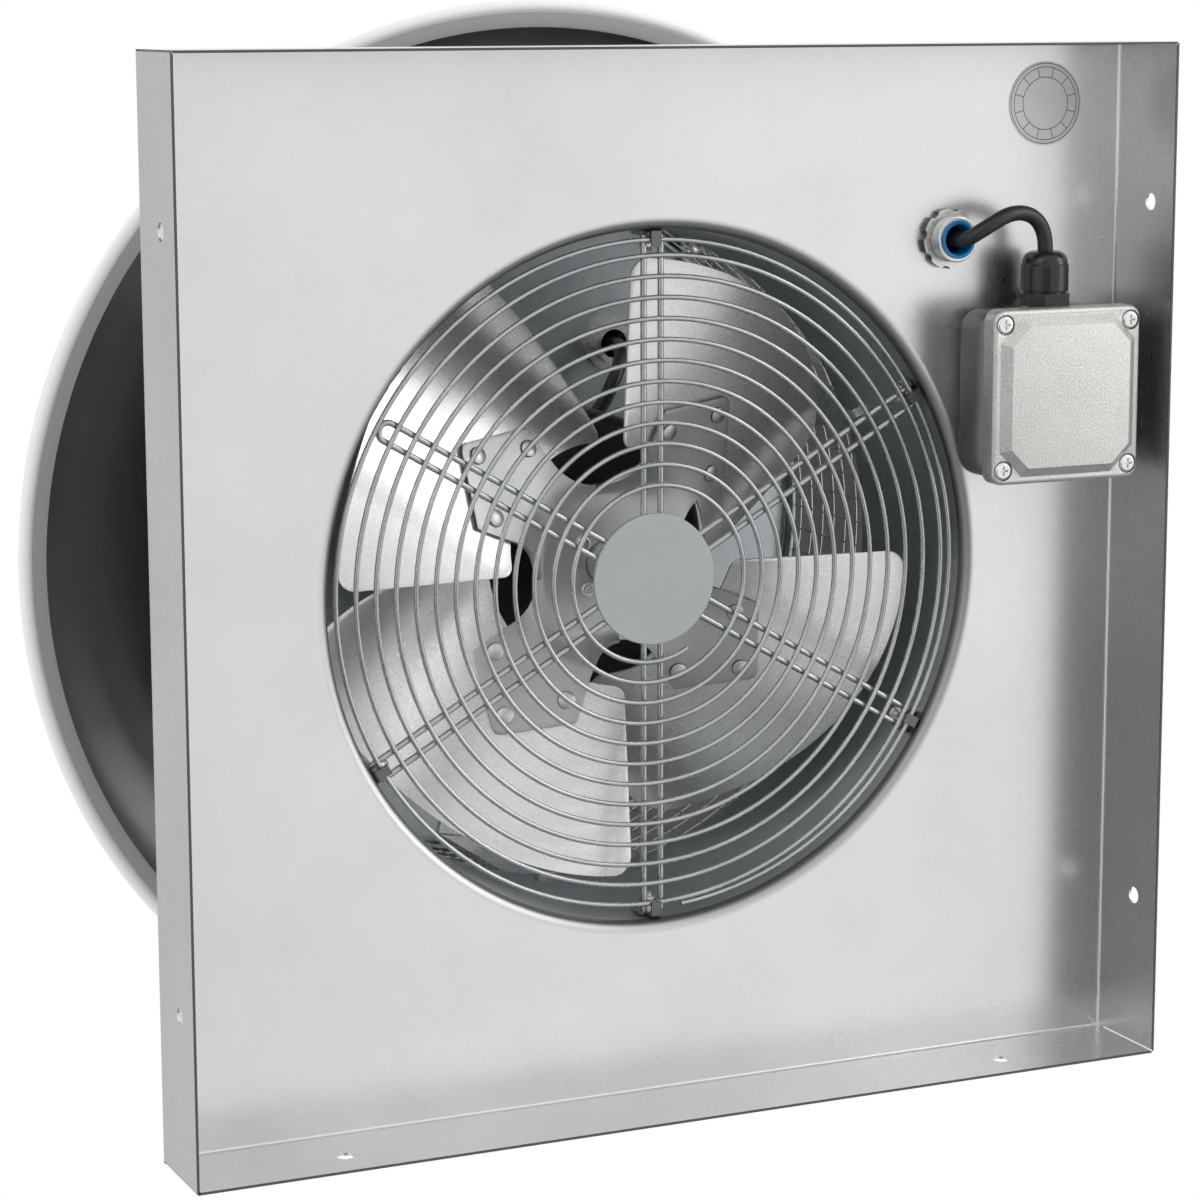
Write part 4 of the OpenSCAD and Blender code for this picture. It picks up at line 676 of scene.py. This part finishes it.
def makeHood(made):
    crown, shoulder, thick = made["crown"], made["shoulder"], made["thick"]
    crownZ = made["shoulderZ"] - math.sqrt((crown - shoulder) ** 2 - made["shoulderX"] ** 2)
    meet = math.degrees(math.atan2(made["shoulderZ"] - crownZ, made["shoulderX"]))
    bend = (made["shoulderX"], made["shoulderZ"])
    outer = arc(0, crownZ, crown, 90, meet, made["crownSteps"])[1:]
    outer += arc(*bend, shoulder, meet, 0, made["shoulderSteps"])[1:] + arc(*made["bead"])
    lip = made["lip"] + arc(*made["curl"])[1:] + made["back"]
    inner = arc(*bend, shoulder - thick, 0, meet, made["shoulderSteps"])
    inner += arc(0, crownZ, crown - thick, meet, 90, made["crownSteps"])[1:-1]
    top = [(made["eye"], crownZ + crown - thick), (made["eye"], crownZ + crown)]
    hood = spinProfile("hoodSpun", outer[:-1] + lip + inner + top, made["steps"])
    return finishPiece(hood, "hoodSpun", "spun_aluminium", "frame", ("hood",), 30)


makeHood(hoodMade)
print("hood made")

# Rivets: flat heads on the spider, shanks and small heads behind the blades
rivetMade = {"places": ((92.0, 38.4), (71.0, 22.4), (71.0, 54.4)), "front": -3.1, "grip": 0.7, "steps": 28,
             "head": [(0.01, -1.2), (3.9, -1.2), (4.25, -0.95), (4.4, -0.6), (4.4, 0), (2.4, 0)],
             "tail": [(2.4, 0), (3.6, 0), (3.6, 0.8), (3.0, 1.4), (0.01, 1.4)]}


def makeRivets(made):
    profile = lifted(made["head"], made["front"]) + lifted(made["tail"], made["grip"])
    rivets = []
    for quarter in range(bladeMade["count"]):
        for r, a in made["places"]:
            radial, across, _ = sheetLean(r, a)
            rivet = spinProfile("rivet", profile, made["steps"])
            rivet.data.transform(Matrix.Rotation(math.radians(a + 90 * quarter), 4, "Z")
                                 @ Matrix.Translation(Vector((r, 0, bladeHeight(r, a))) * mm)
                                 @ Matrix.Rotation(-math.atan(radial), 4, "Y")
                                 @ Matrix.Rotation(math.atan(across), 4, "X"))
            rivets.append(rivet)
    return finishPiece(joinAll(rivets), "rivetHeads", "rivet_aluminium", "impeller", ("rivets",), 40)


makeRivets(rivetMade)
print("rivets made")

# Bushing: thin blue collar over the nipple's end, wide throat for the lead
entrySpot = (155.5, -159.1)
bushingMade = {"low": 38.4, "steps": 48,
               "profile": [(7.5, 0.4), (7.9, 0.1), (8.9, 0.1), (9.3, 0.5), (9.3, 1.25), (7.55, 1.35), (7.5, 9.5),
                           (6.9, 9.5), (7.0, 2.0)]}


def makeBushing(made):
    bushing = spinProfile("bushingCollar", lifted(made["profile"], made["low"]), made["steps"], entrySpot)
    return finishPiece(bushing, "bushingCollar", "bushing_blue", "frame", ("conduit_bushing",), 30)


makeBushing(bushingMade)
print("bushing made")


# Thread of the connector's nipple: rings of a V profile round the plain nipple of the source
threadMade = {"low": 40.0, "high": 47.0, "rings": 5, "inner": 8.8, "root": 10.3, "crest": 11.1,
              "crestSpan": (0.35, 0.6), "steps": 64}


def makeThread(made):
    root, pitch = made["root"], (made["high"] - made["low"]) / made["rings"]
    profile = [(made["inner"], made["high"]), (made["inner"], made["low"])]
    for k in range(made["rings"]):
        level = made["low"] + pitch * k
        profile += [(root, level)] + [(made["crest"], level + share * pitch) for share in made["crestSpan"]]
    profile.append((root, made["high"]))
    thread = spinProfile("nippleThread", profile, made["steps"], entrySpot)
    finishPiece(thread, "nippleThread", "zinc_casting", "frame")
    # the locknut finish paints the upright thread crests dark as painted shade against lighter flanks
    thread.data.materials[0] = nodeFinish["conduit_locknut"]


makeThread(threadMade)
print("thread made")


# Terminal box: hollow cast body, and a lid with a raised panel and sinks for its screws.
# A lid's ring is its half width, its half length and how far its corners are cut
boxMade = {"corner": 10.0, "wall": 3.0, "floor": 47.8, "soft": 0.5, "glandR": 8.1, "glandZ": 30.0, "glandX": 199.0,
           "glandDeep": 20.0}
lidMade = {"corner": 6.0, "round": 2.2, "roundSteps": 5, "height": 10.0, "inset": 0.8, "foot": (38.0, 39.0, 12.5),
           "panel": (33.25, 34.5, 9.5), "rise": 3.9, "soft": 1.0, "sinkIn": (6.0, 7.2), "sinkR": 5.0,
           "sinkZ": 9.3, "sinkDeep": 6.0}
blockMade = {"cornerSteps": 8, "flat": 0.99, "near": 0.1 * mm, "drillSides": 48, "softSteps": 3, "softAngle": 25}
quarterTurn = math.radians(90)


def roundedBlock(low, high, corner):
    startPiece()
    bpy.ops.mesh.primitive_cube_add(size=1, location=(low + high) / 2)
    block = bpy.context.object
    block.scale = high - low
    bpy.ops.object.transform_apply(location=True, rotation=True, scale=True)
    bpy.ops.object.mode_set(mode="EDIT")
    bpy.ops.mesh.select_all(action="DESELECT")
    bpy.ops.object.mode_set(mode="OBJECT")
    for edge in block.data.edges:
        ends = [block.data.vertices[v].co for v in edge.vertices]
        edge.select = abs(ends[0].z - ends[1].z) > blockMade["near"]
    bpy.ops.object.mode_set(mode="EDIT")
    bpy.ops.mesh.select_mode(type="EDGE")
    bpy.ops.mesh.bevel(offset=corner * mm, segments=blockMade["cornerSteps"], affect="EDGES")
    bpy.ops.mesh.select_mode(type="FACE")
    return block


def takeLowFace(block):
    # selects the flat face that looks down
    bpy.ops.mesh.select_all(action="DESELECT")
    bpy.ops.object.mode_set(mode="OBJECT")
    low = min(v.co.z for v in block.data.vertices)
    for face in block.data.polygons:
        face.select = face.normal.z < -blockMade["flat"] and abs(face.center.z - low) < blockMade["near"]
    bpy.ops.object.mode_set(mode="EDIT")


def cutAway(piece, cutters):
    cutter = joinAll(cutters)
    bpy.ops.object.transform_apply(location=True, rotation=True, scale=True)
    cut = piece.modifiers.new("cut", "BOOLEAN")
    cut.operation = "DIFFERENCE"
    cut.object = cutter
    cut.solver = "EXACT"
    applyAll(piece)
    bpy.data.objects.remove(cutter)


def drill(spot, radius, depth, turn=(0, 0, 0)):
    startPiece()
    bpy.ops.mesh.primitive_cylinder_add(vertices=blockMade["drillSides"], radius=radius * mm, depth=depth * mm,
                                        location=spot, rotation=turn)
    return bpy.context.object


def softenEdges(piece, width, steps=blockMade["softSteps"]):
    addBevel(piece, width, steps, blockMade["softAngle"])
    applyAll(piece)


def makeBoxBody(made):
    low, high = (Vector(corner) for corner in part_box("box_body"))
    body = roundedBlock(low, high, made["corner"])
    takeLowFace(body)
    bpy.ops.mesh.inset(thickness=made["wall"] * mm)
    bpy.ops.mesh.extrude_region_move(TRANSFORM_OT_translate={"value": (0, 0, made["floor"] * mm - low.z)})
    bpy.ops.object.mode_set(mode="OBJECT")
    spot = (made["glandX"] * mm, low.y, made["glandZ"] * mm)
    cutAway(body, [drill(spot, made["glandR"], made["glandDeep"], (quarterTurn, 0, 0))])
    softenEdges(body, made["soft"])
    finishPiece(body, "boxBody", "cast_aluminium", "frame", ("box_body",), 30)
    # the body's darker cast tone is painted shade
    body.data.materials[0] = grainMaterial("castBodyShaded", bodyShadedLook)


def toOctagon(block, centre, shape, level):
    # the selected ring goes to an octagon
    bpy.ops.object.mode_set(mode="OBJECT")
    ring = [vertex for vertex in block.data.vertices if vertex.select]
    spots = [(vertex.co.x - centre.x, vertex.co.y - centre.y) for vertex in ring]
    near = [min(abs(spot[k]) for spot in spots) for k in (0, 1)]
    far = [max(abs(spot[k]) for spot in spots) for k in (0, 1)]
    for vertex, (dx, dy) in zip(ring, spots):
        share = math.atan2((abs(dy) - near[1]) / (far[1] - near[1]), (abs(dx) - near[0]) / (far[0] - near[0]))
        share /= math.pi / 2
        x = (shape[0] - shape[2] * share) * mm
        y = (shape[1] - shape[2] * (1 - share)) * mm
        vertex.co = (centre.x + math.copysign(x, dx), centre.y + math.copysign(y, dy), level)
    bpy.ops.object.mode_set(mode="EDIT")


def makeLid(made):
    low, high = (Vector(corner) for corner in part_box("box_lid"))
    low.z = high.z - made["height"] * mm
    centre = (low + high) / 2
    lid = roundedBlock(low, high, made["corner"])
    takeLowFace(lid)
    bpy.ops.mesh.region_to_loop()
    bpy.ops.mesh.bevel(offset=made["round"] * mm, segments=made["roundSteps"], affect="EDGES")
    bpy.ops.mesh.select_mode(type="FACE")
    takeLowFace(lid)
    for shape, level in ((made["foot"], low.z), (made["panel"], low.z - made["rise"] * mm)):
        bpy.ops.mesh.inset(thickness=made["inset"] * mm)
        toOctagon(lid, centre, shape, level)
    bpy.ops.object.mode_set(mode="OBJECT")
    reach = [high[k] - centre[k] - made["sinkIn"][k] * mm for k in (0, 1)]
    spots = [(centre.x + x * reach[0], centre.y + y * reach[1], made["sinkZ"] * mm) for x in (-1, 1) for y in (-1, 1)]
    cutAway(lid, [drill(spot, made["sinkR"], made["sinkDeep"]) for spot in spots])
    softenEdges(lid, made["soft"])
    return finishPiece(lid, "boxLid", "cast_aluminium", "frame", ("box_lid",), 30)


makeBoxBody(boxMade)
makeLid(lidMade)
print("terminal box made")


# Gland nut: ribbed skirt and round dome, turned along its axis. Grooves are a depth and a width in degrees
glandMade = {"spot": (199.0, -126.6, 30.0), "base": 6.8,
             "profile": [(4.1, 13.9), (4.1, 3), (8.6, 3), (8.6, 0), (11.3, 0), (11.7, 0.4), (11.7, 5), (11.7, 12.7),
                         (11.2, 13.5)],
             "dome": (5.4, 13.9, 5.8, 0, 90, 10), "mouth": [(4.4, 19.7), (4.1, 19.4)], "ribs": 24,
             "groove": (1.0, 3), "grooveFrom": 11.1, "grooveSpan": (7.0, 20.4), "steps": 96}


def makeGlandNut(made):
    profile = lifted(made["profile"] + arc(*made["dome"]) + made["mouth"], made["base"])
    nut = spinProfile("glandNut", profile, made["steps"])
    deep, wide = made["groove"]
    for vertex in nut.data.vertices:
        radius = vertex.co.xy.length
        turned = math.degrees(math.atan2(vertex.co.y, vertex.co.x)) % (360 / made["ribs"])
        inSpan = made["grooveSpan"][0] < vertex.co.z / mm < made["grooveSpan"][1]
        if radius > made["grooveFrom"] * mm and inSpan and turned < wide:
            vertex.co.xy *= 1 - deep * mm / radius
    nut.data.transform(Matrix.Translation(Vector(made["spot"]) * mm) @ Matrix.Rotation(quarterTurn, 4, "X"))
    return finishPiece(nut, "glandNut", "gland_plastic", "frame", ("gland_nut",), 25)


makeGlandNut(glandMade)
print("gland nut made")


# Guard studs: threaded ends with square nuts between the spokes, one at each clip
studMade = {"angles": (-90, -30, 30, 90, 150), "inner": 156.5, "level": 65.0, "radius": 2.1, "groove": 0.35,
            "start": 0.4, "pitch": 0.5, "crests": 22, "length": 11.4, "steps": 20, "nutAt": 160.5, "nutWide": 6.6,
            "nutThick": 3.0, "nutSoft": 0.5}


def makeStuds(made):
    thread = [(made["radius"] - made["groove"] * (k % 2), made["start"] + made["pitch"] * k)
              for k in range(made["crests"])]
    profile = [(0.01, 0)] + thread + [(0.01, made["length"])]
    pieces = []
    for angle in made["angles"]:
        turned = Matrix.Rotation(math.radians(angle), 4, "Z")
        stud = spinProfile("stud", profile, made["steps"])
        stud.data.transform(turned @ Matrix.Translation(Vector((made["inner"], 0, made["level"])) * mm)
                            @ Matrix.Rotation(quarterTurn, 4, "Y"))
        startPiece()
        bpy.ops.mesh.primitive_cube_add(size=1)
        nut = bpy.context.object
        nut.data.transform(Matrix.Diagonal((made["nutThick"] * mm, made["nutWide"] * mm, made["nutWide"] * mm, 1)))
        softenEdges(nut, made["nutSoft"], fineSteps)
        nut.data.transform(turned @ Matrix.Translation(Vector((made["nutAt"], 0, made["level"])) * mm))
        pieces += [stud, nut]
    return finishPiece(joinAll(pieces), "guardStuds", "zinc_hardware", "frame")


makeStuds(studMade)
print("guard studs made")

# Lead: smooth round cable on the route of the source
leadMade = {"radius": 3.8 * mm, "smooth": 6, "route": [
    (199, -112, 30), (199, -128, 30), (199, -144, 30), (199, -154, 30), (198.2, -160, 29.8), (196, -165, 29.4),
    (192, -169, 28.6), (186.5, -171.4, 27.6), (180, -172, 26.6), (173, -170.5, 25.8), (166.5, -167.3, 26),
    (161, -163.7, 28), (157.6, -160.8, 31.6), (155.9, -159.4, 36.6), (155.5, -159.1, 43), (155.5, -159.1, 52),
    (155.5, -159.1, 90), (155.5, -159.1, 130), (155.5, -159.1, 170), (155.5, -159.1, 215), (155.5, -159.1, 223),
    (152.6, -157, 242), (144.3, -151.1, 258.4), (132, -142.2, 269.1), (115, -130, 273.5), (95, -115.4, 273.5),
    (77, -102.4, 273), (69, -96.4, 269.5), (66, -94, 262), (66, -94, 250), (65.6, -93.4, 241), (63, -89.5, 232),
    (58.5, -82.5, 226), (54, -75.5, 223), (49, -67, 222), (43, -58.5, 222)]}


def makeLead(made):
    startPiece()
    curve = bpy.data.curves.new("lead", "CURVE")
    curve.dimensions = "3D"
    spline = curve.splines.new("BEZIER")
    spline.bezier_points.add(len(made["route"]) - 1)
    for point, spot in zip(spline.bezier_points, made["route"]):
        point.co = Vector(spot) * mm
        point.handle_left_type = point.handle_right_type = "AUTO"
    spline.resolution_u = curve.bevel_resolution = made["smooth"]
    curve.bevel_depth = made["radius"]
    curve.use_fill_caps = True
    lead = bpy.data.objects.new("lead", curve)
    bpy.context.scene.collection.objects.link(lead)
    takeOnly(lead)
    bpy.ops.object.convert(target="MESH")
    return finishPiece(bpy.context.object, "leadCable", "lead_rubber", "frame", ("lead",), 50)


makeLead(leadMade)
print("lead made")


# Camera at the photograph's place
cameraMade = {"spot": (-0.698203, -0.274055, -1.418996), "lens": 103.2037, "sensor": 36, "far": 50,
              "right": (0.910525, 0.002795, -0.413445), "down": (-0.073414, 0.98518, -0.15502),
              "ahead": (0.406884, 0.171502, 0.897236)}
cameraData = bpy.data.cameras.new("camera")
cameraData.sensor_width = cameraMade["sensor"]
cameraData.lens = cameraMade["lens"]
cameraData.clip_end = cameraMade["far"]
camera = bpy.data.objects.new("camera", cameraData)
bpy.context.scene.collection.objects.link(camera)
axes = (cameraMade["right"], [-v for v in cameraMade["down"]], [-v for v in cameraMade["ahead"]])
camera.matrix_world = Matrix.Translation(cameraMade["spot"]) @ Matrix(axes).transposed().to_4x4()
bpy.context.scene.camera = camera
bpy.context.scene.view_settings.view_transform = "Standard"

# White to camera, glossy and transmission rays, soft grey fill for the rest
worldMade = {"white": 1.0, "fill": 0.8, "fillColor": (0.95, 0.97, 1.0)}
world = bpy.data.worlds.new("studio")
bpy.context.scene.world = world
world.use_nodes = True
skyTree = world.node_tree
skyTree.nodes.clear()
path = addNode(skyTree, "ShaderNodeLightPath").outputs
seen = path["Is Camera Ray"]
for ray in ("Is Glossy Ray", "Is Transmission Ray"):
    seen = math2(skyTree, "MAXIMUM", seen, path[ray])
white = addNode(skyTree, "ShaderNodeBackground", {"Color": rgb(grey(1)), "Strength": worldMade["white"]})
fill = addNode(skyTree, "ShaderNodeBackground",
               {"Color": rgb(worldMade["fillColor"]), "Strength": worldMade["fill"]})
skyMix = addNode(skyTree, "ShaderNodeMixShader", {0: seen, 1: fill.outputs[0], 2: white.outputs[0]})
addNode(skyTree, "ShaderNodeOutputWorld", {"Surface": skyMix.outputs[0]})

# Floor: seen from above only, so that light and the low camera pass it from below
floorMade = {"size": 8, "drop": 0.5 * mm, "grain": 60.0, "dark": grey(0.86), "light": grey(0.9)}
startPiece()
bpy.ops.mesh.primitive_plane_add(size=floorMade["size"], location=(0, 0, -floorMade["drop"]))
floor = bpy.context.object
floor.name = "floor"
floorMat, floorTree, floorShader, floorCoord = startMaterial("floorPaper", {"Roughness": 0.9,
                                                                            "Specular IOR Level": 0.1})
paper = mixColor(floorTree, noise(floorTree, floorCoord, floorMade["grain"]), rgb(floorMade["dark"]),
                 rgb(floorMade["light"]))
floorTree.links.new(paper, floorShader.inputs["Base Color"])
floorRay = addNode(floorTree, "ShaderNodeLightPath").outputs["Is Camera Ray"]
front = math2(floorTree, "SUBTRACT", 1.0, geometry(floorTree, "Backfacing"))
clear = addNode(floorTree, "ShaderNodeBsdfTransparent")
floorMix = addNode(floorTree, "ShaderNodeMixShader",
                   {0: product(floorTree, floorRay, front), 1: clear.outputs[0], 2: floorShader.outputs[0]})
floorTree.links.new(floorMix.outputs[0], floorTree.nodes["Material Output"].inputs["Surface"])
floor.data.materials.append(floorMat)
floor.visible_shadow = False

# Grey cards, seen only in reflections: two round the camera, one behind and one below the picture
cardsMade = {"cameraCard": {"spot": (-0.80, 0.55, -1.60), "aim": (0, 0.3, 0.05), "size": (0.95, 2.0), "tone": 0.14},
             "aboveCard": {"spot": (-0.80, -0.60, -1.55), "aim": (0, -0.3, 0.05), "size": (1.26, 0.52), "tone": 0.38},
             "backCard": {"spot": (-1.0, 0.3, 1.6), "aim": (-0.2, 0, 0.0), "size": (2.2, 2.6), "tone": 0.62},
             "tableCard": {"spot": (0.9, 1.6, -0.5), "aim": (0.9, 0, -0.5), "size": (5.0, 2.8), "tone": 0.25}}
cardPaper = {"grain": 3.0, "dark": 0.95, "light": 1.05}


def aimed(made):
    return (Vector(made["aim"]) - Vector(made["spot"])).to_track_quat("-Z", "Y").to_euler()


def makeCard(name, made):
    startPiece()
    bpy.ops.mesh.primitive_plane_add(size=1)
    card = bpy.context.object
    card.name = name
    card.scale = (made["size"][0], made["size"][1], 1)
    card.rotation_euler = aimed(made)
    card.location = made["spot"]
    mat, tree, shader, coord = startMaterial(name + "Paper", {"Roughness": 1.0, "Specular IOR Level": 0.0})
    dark, light = (rgb(grey(made["tone"] * cardPaper[end])) for end in ("dark", "light"))
    paper = mixColor(tree, noise(tree, coord, cardPaper["grain"]), dark, light)
    glow = addNode(tree, "ShaderNodeEmission", {"Color": paper, "Strength": 1.0})
    tree.links.new(glow.outputs[0], tree.nodes["Material Output"].inputs["Surface"])
    card.data.materials.append(mat)
    for rays in ("camera", "diffuse", "shadow", "transmission"):
        setattr(card, "visible_" + rays, False)


for cardName, cardMade in cardsMade.items():
    makeCard(cardName, cardMade)

# Soft square lamps: side in metres, power in watts
lampsMade = {"keyLamp": {"spot": (-1.4, -1.2, -1.1), "aim": (0, 0, 0.1), "side": 1.5, "power": 4},
             "rightLamp": {"spot": (2.1, -0.8, -1.0), "aim": (0, 0, 0.1), "side": 1.7, "power": 22},
             "topLamp": {"spot": (-1.2, -1.4, 2.4), "aim": (0, 0, 0.2), "side": 2.0, "power": 12}}


def makeLamp(name, made):
    data = bpy.data.lights.new(name, "AREA")
    data.shape = "RECTANGLE"
    data.size = data.size_y = made["side"]
    data.energy = made["power"]
    lamp = bpy.data.objects.new(name, data)
    bpy.context.scene.collection.objects.link(lamp)
    lamp.rotation_euler = aimed(made)
    lamp.location = made["spot"]


for lampName, lampMade in lampsMade.items():
    makeLamp(lampName, lampMade)
print("camera, light and floor set")

startPiece()
bpy.context.view_layer.update()
